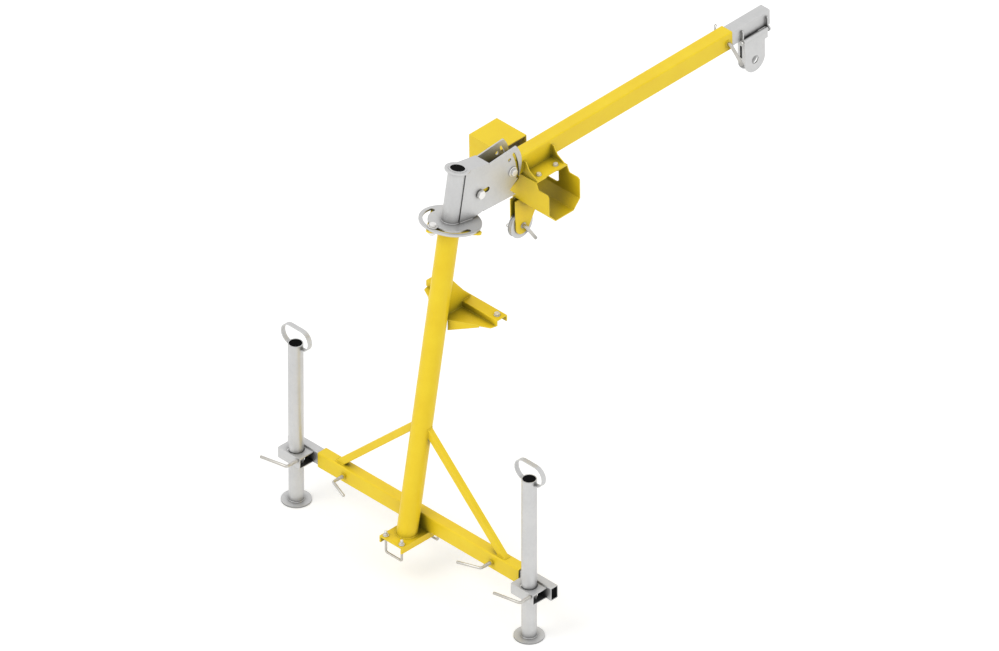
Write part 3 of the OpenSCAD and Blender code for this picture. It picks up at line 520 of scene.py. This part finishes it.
def in_mast(*points):
    """Points given across, ahead of and up the mast, from its foot."""
    return [MAST @ Vector(point) for point in points]


def turned(vertices, radius, depth, low):
    """A cylinder along Z from a height, as the active object in edit mode with nothing selected."""
    bpy.ops.object.select_all(action="DESELECT")
    middle = (0, 0, low + depth / 2)
    bpy.ops.mesh.primitive_cylinder_add(vertices=vertices, radius=radius, depth=depth, location=middle)
    piece = bpy.context.view_layer.objects.active
    bpy.ops.object.transform_apply(location=True, rotation=True, scale=True)
    bpy.ops.object.mode_set(mode="EDIT")
    bpy.ops.mesh.select_all(action="DESELECT")
    bpy.ops.mesh.select_mode(type="FACE")
    return piece


def select_faces(piece, test):
    """Selects the faces whose centre and normal pass the test, while in edit mode."""
    bpy.ops.mesh.select_all(action="DESELECT")
    bpy.ops.object.mode_set(mode="OBJECT")
    for face in piece.data.polygons:
        face.select = test(face.center, face.normal)
    bpy.ops.object.mode_set(mode="EDIT")


def cone_top(piece, top, rise, share):
    """Draws the top face up and in, as a turned chamfer."""
    select_faces(piece, lambda centre, normal: normal.z > 0.9 and centre.z > top - 1e-6)
    bpy.ops.mesh.extrude_region_move(TRANSFORM_OT_translate={"value": (0, 0, rise)})
    bpy.ops.transform.resize(value=(share, share, 1.0), center_override=(0, 0, top + rise))


def hexagon(across, height, low):
    """A hexagon nut or bolt head along Z with turned chamfers at both ends."""
    corner = across / math.sqrt(3)
    chamfer = (corner - 0.48 * across) * math.tan(math.radians(30))
    block = turned(6, corner, height, low)
    bpy.ops.object.mode_set(mode="OBJECT")
    cutter = turned(48, corner, height - 2 * chamfer, low + chamfer)
    share = 0.48 * across / corner
    cone_top(cutter, low + height - chamfer, chamfer, share)
    select_faces(cutter, lambda centre, normal: normal.z < -0.9 and centre.z < low + chamfer + 1e-6)
    bpy.ops.mesh.extrude_region_move(TRANSFORM_OT_translate={"value": (0, 0, -chamfer)})
    bpy.ops.transform.resize(value=(share, share, 1.0), center_override=(0, 0, low))
    bpy.ops.object.mode_set(mode="OBJECT")
    bpy.ops.object.select_all(action="DESELECT")
    bpy.context.view_layer.objects.active = block
    block.select_set(True)
    cut = block.modifiers.new("turned_chamfer", "BOOLEAN")
    cut.operation = "INTERSECT"
    cut.solver = "EXACT"
    cut.object = cutter
    bpy.ops.object.modifier_apply(modifier=cut.name)
    bpy.data.objects.remove(cutter)
    return block


def washer(radius, thickness, low):
    """A washer with its two rims broken."""
    piece = turned(48, radius, thickness, low)
    select_faces(piece, lambda centre, normal: abs(normal.z) > 0.9)
    bpy.ops.mesh.region_to_loop()
    bpy.ops.mesh.bevel(offset=0.22 * thickness, segments=2)
    bpy.ops.object.mode_set(mode="OBJECT")
    return piece


def shank(radius, length, low):
    """A bolt's shank with a chamfered point."""
    rise = 0.25 * radius
    piece = turned(32, radius, length - rise, low)
    cone_top(piece, low + length - rise, rise, 0.78)
    bpy.ops.object.mode_set(mode="OBJECT")
    return piece


def thread(radius, pitch, low, length):
    """A helical ridge round a rod along Z, its root inside the rod."""
    bpy.ops.object.select_all(action="DESELECT")
    start = (radius - pitch * 0.05, 0, low + pitch / 2)
    on_edge = (math.pi / 2, math.pi / 4, 0)
    bpy.ops.mesh.primitive_plane_add(size=pitch * 0.8, location=start, rotation=on_edge)
    piece = bpy.context.view_layer.objects.active
    bpy.ops.object.transform_apply(location=True, rotation=True, scale=True)
    bpy.ops.object.mode_set(mode="EDIT")
    bpy.ops.mesh.select_all(action="SELECT")
    bpy.ops.mesh.delete(type="ONLY_FACE")
    bpy.ops.object.mode_set(mode="OBJECT")
    winding = piece.modifiers.new("winding", "SCREW")
    winding.axis = "Z"
    winding.angle = 2 * math.pi
    winding.screw_offset = pitch
    winding.iterations = max(1, round(length / pitch))
    winding.steps = winding.render_steps = 20
    bpy.ops.object.modifier_apply(modifier=winding.name)
    bpy.ops.object.mode_set(mode="EDIT")
    bpy.ops.mesh.select_all(action="SELECT")
    bpy.ops.mesh.normals_make_consistent(inside=False)
    bpy.ops.object.mode_set(mode="OBJECT")
    bpy.ops.object.shade_smooth_by_angle(angle=math.radians(40))
    return piece


def hex_bolt(size, grip, washer_radius, washer_t):
    """Head below, washers on both sides of the grip, nut and thread above, along Z."""
    head = 0.65 * size
    nut = 0.8 * size
    top = grip + washer_t + nut
    across = 1.65 * size
    parts = [
        hexagon(across, head, -washer_t - head),
        washer(washer_radius, washer_t, -washer_t),
        shank(size / 2, top + 0.3 * size + washer_t, -washer_t),
        washer(washer_radius, washer_t, grip),
        hexagon(across, nut, grip + washer_t),
        thread(size / 2, 0.14 * size, top, 0.2 * size),
    ]
    piece = join(parts)
    bpy.ops.object.shade_smooth_by_angle(angle=math.radians(30))
    return piece


# Rods that end in a bent handle
SCREW_SIZE = 0.012
SCREW_PITCH = 0.00175


def bent_line(straight, bend, arm, size):
    """Points along +Z that bend toward +X; the elbow's radius suits the rod."""
    turn = math.radians(bend)
    elbow = size / 2 * (math.cos(turn / 3) + math.cos(2 * turn / 3)) / math.sin(turn)
    points = [Vector((0, 0, 0)), Vector((0, 0, straight))]
    for step in range(1, 11):
        angle = turn * step / 10
        points.append(Vector((elbow * (1 - math.cos(angle)), 0, straight + elbow * math.sin(angle))))
    ahead = Vector((math.sin(turn), 0, math.cos(turn)))
    points.append(points[-1] + ahead * (arm - 0.0015))
    points.append(points[-1] + ahead * 0.0015)
    return points


def bent_handle_rod(size, straight, bend, arm, threaded=0.0):
    """A clamp screw or hand pin; threaded is the length of its thread, from its foot."""
    line = bent_line(straight, bend, arm, size)
    line.insert(1, Vector((0, 0, 0.0015)))
    shares = [0.8] + [1.0] * (len(line) - 2) + [0.78]
    rod = swept("rod", line, size / 2, shares, sides=5)
    if threaded:
        rod = join([rod, thread(size / 2, SCREW_PITCH, 0.002, threaded)])
    return rod


# The plain stretch between a screw's thread and its elbow
SCREW_NECK = 0.014
BEAM_SCREW_STRAIGHT = 0.0572
# How far a leg screw stands out of its bracket
LEG_SCREW_OUT = 0.048
# Bend in degrees and length of each kind of handle
BEAM_HANDLE = (69.0, 0.094)
LEG_HANDLE = (78.0, 0.114)


def clamp_screw(name, node, body, straight, handle, toward):
    """A clamp screw along -Y from its tip, its handle toward +X or -X."""
    axis = JOINT_AT[node + "_turn"]
    start = Vector((axis.x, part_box(node)[1].y, axis.z))
    rod = bent_handle_rod(SCREW_SIZE, straight, *handle, straight - SCREW_NECK)
    mirror = Matrix.Scale(-1, 4, (1, 0, 0)) if toward < 0 else Matrix.Identity(4)
    place = Matrix.Translation(start) @ mirror @ TOWARD_FRONT
    finish_piece(rod, name, body, "plated_hardware", place, (node,), PLATED_ROD)


for side, sign in SIDES:
    beam_screw = f"beam_screw_{side}"
    leg_screw = f"leg_screw_{side}"
    beam_clamp = f"beam_clamp_{side}"
    leg_clamp = f"leg_clamp_{side}"
    clamp_screw(f"clamp_screw_beam_{side}", beam_screw, beam_clamp, BEAM_SCREW_STRAIGHT, BEAM_HANDLE, -sign)
    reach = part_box(leg_screw)[1].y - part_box(f"leg_bracket_{side}")[0].y + LEG_SCREW_OUT
    clamp_screw(f"clamp_screw_leg_{side}", leg_screw, leg_clamp, reach, LEG_HANDLE, -1)

# Hand pins with their spring clips, in the boom's frame
PIN_SIZE = 0.014
WIRE = 0.0024
CLIP_LENGTH = 0.051
# How far a clip's hole is from its pin's end
CLIP_INSET = 0.007


def spring_clip_line():
    """An R-shaped clip: a leg through the pin, an eye at its far end, and an arm that hugs the pin."""
    eye_at = CLIP_LENGTH - 0.0066
    leg = [(0, 0, -0.013), (0, 0, eye_at - 0.007)]
    eye = [
        (0, 0.0042 + 0.0052 * math.cos(turn), eye_at + 0.0064 * math.sin(turn))
        for turn in [math.radians(angle) for angle in range(205, -56, -18)]
    ]
    arm = [
        (0, 0.0062, eye_at - 0.012),
        (0, 0.0058, 0.016),
        (0, 0.0080, 0.0065),
        (0, 0.0092, 0.0),
        (0, 0.0082, -0.0055),
        (0, 0.0098, -0.0115),
    ]
    return [Vector(point) for point in leg + eye + arm]


def hand_pin(name, nodes, along, rise, high_x, arm, turn, clip_turn, collar=0.0):
    """A hand pin across the boom; its clip leans back from upright by clip_turn."""
    low_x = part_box(nodes[0])[0].x
    across = Matrix.Translation((low_x, 0, 0)) @ Matrix.Rotation(math.pi / 2, 4, "Y")
    rod = bent_handle_rod(PIN_SIZE, high_x - low_x, 90.0, arm)
    if collar:
        rod = join([rod, washer(0.0125, 0.0022, collar - low_x)])
    middle = BOOM @ Matrix.Translation((0, along, rise))
    rod_place = middle @ Matrix.Rotation(math.radians(turn), 4, "X") @ across
    finish_piece(rod, name, "boom", "plated_hardware", rod_place, (nodes[0],), PLATED_ROD)
    clip = swept("clip", spring_clip_line(), WIRE / 2, sides=3)
    lean = Matrix.Rotation(math.radians(clip_turn), 4, "X")
    clip_place = middle @ Matrix.Translation((low_x + CLIP_INSET, 0, 0)) @ lean
    finish_piece(clip, name + "_spring_clip", "boom", "plated_hardware", clip_place, (nodes[1],), SPRING_WIRE)


AXLE = BOOM_BACK @ JOINT_AT["pulley_spin"]
hand_pin(
    "axle_pin", ("pulley_pin", "pulley_clip"), AXLE.y, AXLE.z,
    high_x=0.023, arm=0.084, turn=33, clip_turn=90, collar=0.0162,
)
# Along and square to the boom, from its pivot
HAND_PIN_AT = (1.347, 0.010)
hand_pin(
    "extension_pin", ("boom_pin", "boom_pin_clip"), *HAND_PIN_AT,
    high_x=0.039, arm=0.128, turn=26, clip_turn=0,
)


# Bolts: size, grip, washer radius and washer thickness of each kind
BRACKET_BOLT = (0.012, 0.005, 0.0126, 0.002)
SEAT_BOLT = (0.010, 0.009, 0.0105, 0.002)
STOP_BOLT = (0.016, 0.0166, 0.020, 0.003)
PIVOT_BOLT = (0.020, 2 * CHEEK_X, 0.015, 0.003)
LOCK_BOLT = (0.016, 2 * CHEEK_X, 0.021, 0.004)
# Where they stand, from the origin, the seat's middle, the mast's axis and the pivot
BRACKET_BOLT_X = 0.164
BRACKET_BOLT_Y = 0.2965
SEAT_BOLT_X = 0.082
SEAT_BOLT_U = 0.045
SHELF_TOP = -0.030
STOP_BOLT_BACK = 0.097
DISC_PLAY = 0.0003
LOCK_RADIUS = 0.178
LOCK_ANGLE = math.radians(5)


def bolts(name, node, body, places, sizes):
    """Like bolts at the given places, their heads at the near end of the grip."""
    made = []
    for place in places:
        piece = hex_bolt(*sizes)
        piece.data.transform(place)
        made.append(piece)
    finish_piece(join(made), name, body, "plated_hardware", None, (node,))


def across_cheeks(ahead, up):
    """A bolt's place through both cheeks, given from the boom's pivot."""
    return Matrix.Translation(JOINT_AT["boom_tilt"] + Vector((CHEEK_X, ahead, up))) @ TO_LEFT


bracket_places = [
    Matrix.Translation((x, BRACKET_BOLT_Y, BRACKET_TOP)) @ DOWN for x in (-BRACKET_BOLT_X, BRACKET_BOLT_X)
]
bolts("load_bracket_fasteners", "load_bracket_bolts", "frame", bracket_places, BRACKET_BOLT)
seat_places = [
    BOOM @ Matrix.Translation((SEAT_BOLT_X, SEAT_U + u, SHELF_TOP)) @ DOWN
    for u in (-SEAT_BOLT_U, SEAT_BOLT_U)
]
bolts("winch_seat_fasteners", "winch_bolts", "boom", seat_places, SEAT_BOLT)
stop_place = MAST @ Matrix.Translation((0, -STOP_BOLT_BACK, DISC_TOP + DISC_PLAY)) @ DOWN
bolts("swivel_stop_fastener", "swivel_stop_bolt", "frame", [stop_place], STOP_BOLT)
bolts("pivot_fastener", "boom_pivot_bolt", "head", [across_cheeks(0, 0)], PIVOT_BOLT)
lock_place = across_cheeks(LOCK_RADIUS * math.cos(LOCK_ANGLE), LOCK_RADIUS * math.sin(LOCK_ANGLE))
bolts("lock_fastener", "boom_lock_bolt", "head", [lock_place], LOCK_BOLT)

# The threaded ends of the U-bolts stand clear of their nuts
ROD_X = 0.043
ROD_Y = 0.097
ROD_RADIUS = 0.005
ROD_END_Z = 0.0290
ROD_PITCH = 0.0015
NUT_Z = 0.0085
NUT_T = 0.008
NUT_ACROSS = 0.0159
WASHER_RADIUS = 0.012


def at_each_rod(make):
    """Joins the pieces that make() gives for each rod of the two U-bolts."""
    made = []
    for x, y in [(x, y) for x in (-ROD_X, ROD_X) for y in (-ROD_Y, ROD_Y)]:
        for piece in make():
            piece.data.transform(Matrix.Translation((x, y, 0)))
            made.append(piece)
    joined = join(made)
    bpy.ops.object.shade_smooth_by_angle(angle=math.radians(30))
    return joined


def nut_and_washer():
    return washer(WASHER_RADIUS, NUT_Z - PLATE_TOP, PLATE_TOP), hexagon(NUT_ACROSS, NUT_T, NUT_Z)


def rod_end():
    """A rod's end from inside its nut, with its thread from the nut's top to just short of the point."""
    low = NUT_Z + NUT_T - ROD_PITCH
    bare = shank(ROD_RADIUS - 0.0001, ROD_END_Z - low, low)
    return bare, thread(ROD_RADIUS, ROD_PITCH, NUT_Z + NUT_T, ROD_END_Z - NUT_Z - NUT_T - 0.002)


nuts = at_each_rod(nut_and_washer)
finish_piece(nuts, "drawbar_nuts", "frame", "plated_hardware", None, ("u_bolt_nuts",))
finish_piece(at_each_rod(rod_end), "drawbar_bolt_threads", "frame", "plated_hardware")


# End caps, dished and rounded over; radius and height of each round one
CAP_ROUND = 0.0012
CAP_DISH = 0.0012
ROUND_RIM = 0.0055
SQUARE_RIM = 0.0050
HEAD_CAP = (0.0289, 0.0185)
LEG_CAP = (0.02605, 0.019)
# Where their feet stand: up the mast, and below a leg tube's top
HEAD_CAP_UP = 1.5683
LEG_CAP_DOWN = 0.020


def dish(piece, top, rim):
    """Rounds a cap's outer edge and sinks its middle; the cap is in edit mode."""
    select_faces(piece, lambda centre, normal: normal.z > 0.9 and centre.z > top - 1e-6)
    bpy.ops.mesh.bevel(offset=CAP_ROUND, segments=3, affect="EDGES")
    select_faces(piece, lambda centre, normal: normal.z > 0.999 and centre.z > top - 1e-6)
    bpy.ops.mesh.inset(thickness=rim)
    bpy.ops.transform.translate(value=(0, 0, -CAP_DISH))
    bpy.ops.mesh.inset(thickness=CAP_DISH)
    bpy.ops.object.mode_set(mode="OBJECT")
    bpy.ops.object.shade_smooth_by_angle(angle=math.radians(35))
    return piece


def round_cap(radius, height):
    return dish(turned(64, radius, height, 0.0), height, ROUND_RIM)


def square_cap(width, depth, height):
    bpy.ops.object.select_all(action="DESELECT")
    bpy.ops.mesh.primitive_cube_add(size=1.0, location=(0, 0, height / 2), scale=(width, depth, height))
    piece = bpy.context.view_layer.objects.active
    bpy.ops.object.transform_apply(location=True, rotation=True, scale=True)
    bpy.ops.object.mode_set(mode="EDIT")
    bpy.ops.mesh.select_mode(type="FACE")
    return dish(piece, height, SQUARE_RIM)


def cap(piece, name, body, place, node):
    finish_piece(piece, name, body, "black_plastic", place, (node,))


head_place = MAST @ Matrix.Translation((0, 0, HEAD_CAP_UP))
cap(round_cap(*HEAD_CAP), "head_cap", "head", head_place, "head_plug")
for side, sign in SIDES:
    leg_low, leg_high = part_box(f"leg_tube_{side}")
    leg_middle = (leg_low + leg_high) / 2
    place = Matrix.Translation((leg_middle.x, leg_middle.y, leg_high.z - LEG_CAP_DOWN))
    cap(round_cap(*LEG_CAP), f"leg_cap_{side}", f"leg_{side}", place, f"leg_plug_{side}")
    plug = f"outrigger_plug_{side}"
    plug_low, plug_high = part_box(plug)
    size = plug_high - plug_low
    middle = (plug_low + plug_high) / 2
    turn = Matrix.Rotation(sign * math.pi / 2, 4, "Y")
    place = Matrix.Translation((middle.x - sign * size.x / 2, middle.y, middle.z)) @ turn
    cap(square_cap(size.z, size.y, size.x), f"outrigger_cap_{side}", f"outrigger_{side}", place, plug)

# Weld beads: on the frame
BEAM_TOP = BEAM_HIGH.z
ACROSS_LEAN = 1 / math.cos(LEAN)
BRACE_HALF = (0.0219, 0.0125)
BRACE_FOOT = Vector((0.438, 0.057, BEAM_TOP))
BRACE_TOP = Vector((0, 0.0595, 0.488))
# How far a bead's middle stands off the corner that it fills
BEAD_OFF = 0.0006


def rectangle(centre, half_x, half_y):
    corners = ((-1, -1), (1, -1), (1, 1), (-1, 1))
    return [Vector(centre) + Vector((a * half_x, b * half_y, 0)) for a, b in corners]


def onto_mast(point, direction):
    """Where a line first meets the mast tube."""
    back = MAST.inverted()
    start = back @ point
    ahead = back.to_3x3() @ direction
    a = ahead.x ** 2 + ahead.y ** 2
    b = start.x * ahead.x + start.y * ahead.y
    c = start.x ** 2 + start.y ** 2 - MAST_RADIUS ** 2
    return point + direction * ((-b - math.sqrt(max(0.0, b * b - a * c))) / a)


def brace_seams(sign):
    foot = Vector((sign * BRACE_FOOT.x, BRACE_FOOT.y, BRACE_FOOT.z))
    outline = spaced(rectangle(foot, *BRACE_HALF), 0.003, True)
    ahead = (BRACE_TOP - foot).normalized()
    return [(outline, True), ([onto_mast(point, ahead) for point in outline], True)]


def pipe_seam(centre, radius, stretch=1.0, place=None):
    """A closed line round a tube that stands on a face."""
    return ring(centre, "Z", radius, 64, stretch, place), True


def straight_seam(*points):
    return list(points), False


def seams_across(ends, places):
    """A seam square to the boom at each place along it; ends are across and square to the boom."""
    return [straight_seam(*in_boom(*[(x, u, z) for x, z in ends])) for u in places]


PLATE_HALF = 0.058
# Where the crossbeam's two lower edges meet the base plate
BEAM_EDGES_Y = (0.0345, 0.0795)
mast_foot = (0, JOINT_AT["head_swivel"].y, PLATE_TOP + BEAD_OFF)
edge_z = PLATE_TOP + 2 * BEAD_OFF
weld("frame_welds", "frame", "yellow_paint", [
    pipe_seam(mast_foot, MAST_RADIUS + 0.0008, ACROSS_LEAN),
    *[straight_seam((-PLATE_HALF, y, edge_z), (PLATE_HALF, y, edge_z)) for y in BEAM_EDGES_Y],
    *brace_seams(1),
    *brace_seams(-1),
    pipe_seam((0, 0, MAST_LENGTH - FLANGE_T - BEAD_OFF), MAST_RADIUS + BEAD_OFF, 1.0, MAST),
])
# Round the weld nuts of the beam screws
WELD_NUT_X = 0.4
WELD_NUT_Z = 0.041
nut_y = BEAM_LOW.y + 0.0092
nut_rings = [(ring((x, nut_y, WELD_NUT_Z), "Y", 0.0118, 32), True) for x in (-WELD_NUT_X, WELD_NUT_X)]
weld("nut_welds", "frame", "yellow_paint", nut_rings, radius=0.0016)

# Weld beads: on the load bracket, whose flared plate meets the mast along an arc
FLARED_PLATE_DROP = 0.028
arc_z = BRACKET_TOP - FLARED_PLATE_DROP + 0.0005
arc_up = (BRACKET_TOP - FLARED_PLATE_DROP - PLATE_TOP) * ACROSS_LEAN
arc_y = JOINT_AT["head_swivel"].y + arc_up * math.sin(LEAN)
mast_arc = [
    (MAST_RADIUS * math.cos(turn), arc_y + MAST_RADIUS * ACROSS_LEAN * math.sin(turn), arc_z)
    for turn in [math.radians(angle) for angle in range(56, 125, 4)]
]
# The gusset's stretch up the mast and over the channel, and its beads to each side
GUSSET_UP = (0.930, 1.108)
GUSSET_OVER = (0.274, 0.316)
GUSSET_SIDE_UP = 0.0038
GUSSET_SIDE_OVER = 0.0034
up_sides = (-GUSSET_SIDE_UP, GUSSET_SIDE_UP)
over_sides = (-GUSSET_SIDE_OVER, GUSSET_SIDE_OVER)
channel_z = BRACKET_TOP + BEAD_OFF
weld("bracket_welds", "frame", "yellow_paint", [
    straight_seam(*mast_arc),
    *[straight_seam(*in_mast(*[(x, MAST_RADIUS, up) for up in GUSSET_UP])) for x in up_sides],
    *[straight_seam(*[(x, y, channel_z) for y in GUSSET_OVER]) for x in over_sides],
], radius=0.0026)

# Weld beads: on the head
CHEEK_FOOT = (0.014, 0.083)
CHEEK_SEAM_X = 0.0378
HEAD_TUBE_UP = 0.2242
disc_z = DISC_TOP + BEAD_OFF
weld("head_welds", "head", "galvanised_steel", [
    pipe_seam((0, 0, disc_z), HEAD_RADIUS + BEAD_OFF, 1.0, MAST),
    *[
        straight_seam(*in_mast(*[(x, y, disc_z) for y in CHEEK_FOOT]))
        for x in (-CHEEK_SEAM_X, CHEEK_SEAM_X)
    ],
])
tube_end = pipe_seam((0, 0, DISC_TOP + HEAD_TUBE_UP), HEAD_RADIUS + BEAD_OFF, 1.0, MAST)
weld("head_top_weld", "head", "galvanised_steel", [tube_end], radius=0.0014)

# Weld beads: on the winch seat, whose shelf meets the boom's lower corner between two gussets
CORNER_SEAM = 0.0282
GUSSET_U = 0.075
GUSSET_HALF = 0.0025
GUSSET_FOOT_U = 0.073
GUSSET_ON_BOOM = ((0.0305, -0.024), (0.0305, 0.024))
GUSSET_ON_SHELF = ((0.033, -0.0294), (0.101, -0.0294))
gusset_sides = [SEAT_U + end * GUSSET_U + step for end in (-1, 1) for step in (-GUSSET_HALF, GUSSET_HALF)]
gusset_feet = (SEAT_U - GUSSET_FOOT_U, SEAT_U + GUSSET_FOOT_U)
weld("seat_welds", "boom", "yellow_paint", [
    straight_seam(*in_boom(*[(CORNER_SEAM, u, -CORNER_SEAM) for u in gusset_feet])),
    *seams_across(GUSSET_ON_BOOM, gusset_sides),
    *seams_across(GUSSET_ON_SHELF, gusset_feet),
], radius=0.0022)
# A pulley plate's upper edge on the trough, along and square to the boom
PULLEY_PLATE_X = 0.0166
PULLEY_PLATE_EDGE = ((0.2335, -0.161), (0.2685, -0.2004), (0.339, -0.2004))
plate_edges = [in_boom(*[(x, *at) for at in PULLEY_PLATE_EDGE]) for x in (-PULLEY_PLATE_X, PULLEY_PLATE_X)]
pin_boss = ring((0.0302, *HAND_PIN_AT), "X", 0.0122, 32, 1.0, BOOM)
weld("boom_welds", "boom", "yellow_paint", [
    *[straight_seam(*edge) for edge in plate_edges],
    (pin_boss, True),
], radius=0.0022)

# Weld beads: on the outriggers, legs and inner boom
HANDLE_SEAM_Y = (-0.0040, 0.001, 0.005, 0.010, 0.0140)
HANDLE_SEAM_DROP = 0.0152
for side, sign in SIDES:
    low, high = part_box(f"leg_bracket_{side}")
    seams = [straight_seam((low.x + 0.002, high.y, z), (high.x - 0.002, high.y, z)) for z in (low.z, high.z)]
    weld(f"bracket_seams_{side}", f"outrigger_{side}", "galvanised_steel", seams, radius=0.0022)
    leg_low, leg_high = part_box(f"leg_tube_{side}")
    radius = (leg_high.x - leg_low.x) / 2
    middle = (leg_low + leg_high) / 2
    foot_seam = pipe_seam((middle.x, middle.y, leg_low.z + BEAD_OFF), radius + BEAD_OFF)
    weld(f"leg_welds_{side}", f"leg_{side}", "galvanised_steel", [foot_seam])
    handle_ends = []
    for way in (-1, 1):
        across = [(way * math.sqrt(radius ** 2 - y ** 2), y) for y in HANDLE_SEAM_Y]
        line = [(middle.x + x, middle.y + y, leg_high.z - HANDLE_SEAM_DROP) for x, y in across]
        handle_ends.append(straight_seam(*line))
    weld(f"handle_welds_{side}", f"leg_{side}", "galvanised_steel", handle_ends, radius=0.0020)
# Both faces of each hinge lug, along the boom
LUG_FACES = (1.425, 1.431, 1.559, 1.565)
LUG_ON_BOOM = ((0.0254, -0.022), (0.0254, 0.016))
weld("lug_welds", "telescope", "galvanised_steel", seams_across(LUG_ON_BOOM, LUG_FACES), radius=0.0018)

# Floor and light
FLOOR_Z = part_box("leg_foot_right")[0].z - 0.0006
bpy.ops.object.select_all(action="DESELECT")
bpy.ops.mesh.primitive_plane_add(size=80.0, location=(0, 0.6, FLOOR_Z))
floor = bpy.context.view_layer.objects.active
floor.name = "floor"


def lit_in_view(tree, x, y):
    """1 for rays from the camera and for rays that mirror or pass through, else 0."""
    rays = add_node(tree, "LightPath", x, y).outputs
    seen = math_node(tree, "MAXIMUM", rays["Is Camera Ray"], rays["Is Glossy Ray"], x + 200, y)
    return math_node(tree, "MAXIMUM", seen, rays["Is Transmission Ray"], x + 400, y)


def make_floor_finish():
    """Pale matt floor that reads white to the eye and keeps the soft shadow."""
    material = bpy.data.materials.new("pale_floor")
    material.use_nodes = True
    tree = material.node_tree
    shader = tree.nodes["Principled BSDF"]
    place = add_node(tree, "TexCoord", -900)
    tone = remap(tree, noise(tree, place.outputs["Object"], 1.5, 4.0, 0.55, -700), 0.3, 0.7, x=-500)
    colour = mix_colour(tree, tone, (0.86, 0.86, 0.855, 1), (0.88, 0.88, 0.875, 1), -300)
    tree.links.new(colour, shader.inputs["Base Color"])
    shader.inputs["Roughness"].default_value = 0.9
    shader.inputs["Specular IOR Level"].default_value = 0.1
    shader.inputs["Emission Color"].default_value = (1, 1, 1, 1)
    lift = math_node(tree, "MULTIPLY", lit_in_view(tree, -900, -400), 0.30, -200, -400)
    tree.links.new(lift, shader.inputs["Emission Strength"])
    return material


floor.data.materials.append(make_floor_finish())

world = bpy.data.worlds.new("studio")
bpy.context.scene.world = world
world.use_nodes = True
sky = world.node_tree
sky.nodes.clear()
AMBIENT = 0.72
soft = add_node(sky, "Background", 0, 100)
soft.inputs["Color"].default_value = (1, 1, 1, 1)
soft.inputs["Strength"].default_value = AMBIENT
white = add_node(sky, "Background", 0, -100)
white.inputs["Color"].default_value = (1, 1, 1, 1)
white.inputs["Strength"].default_value = 1.0
switch = add_node(sky, "MixShader", 250)
sky.links.new(lit_in_view(sky, -500, 0), switch.inputs[0])
sky.links.new(soft.outputs[0], switch.inputs[1])
sky.links.new(white.outputs[0], switch.inputs[2])
sky.links.new(switch.outputs[0], add_node(sky, "OutputWorld", 450).inputs[0])


def soft_lamp(name, direction, strength, angle):
    """A broad sun lamp that shines from a direction."""
    data = bpy.data.lights.new(name, "SUN")
    data.energy = strength
    data.angle = math.radians(angle)
    lamp = bpy.data.objects.new(name, data)
    bpy.context.scene.collection.objects.link(lamp)
    lamp.rotation_euler = Vector(direction).to_track_quat("Z", "Y").to_euler()


soft_lamp("key", (-0.35, -0.75, 1.0), 0.70, 35)
soft_lamp("fill", (0.9, -0.2, 0.6), 0.36, 60)
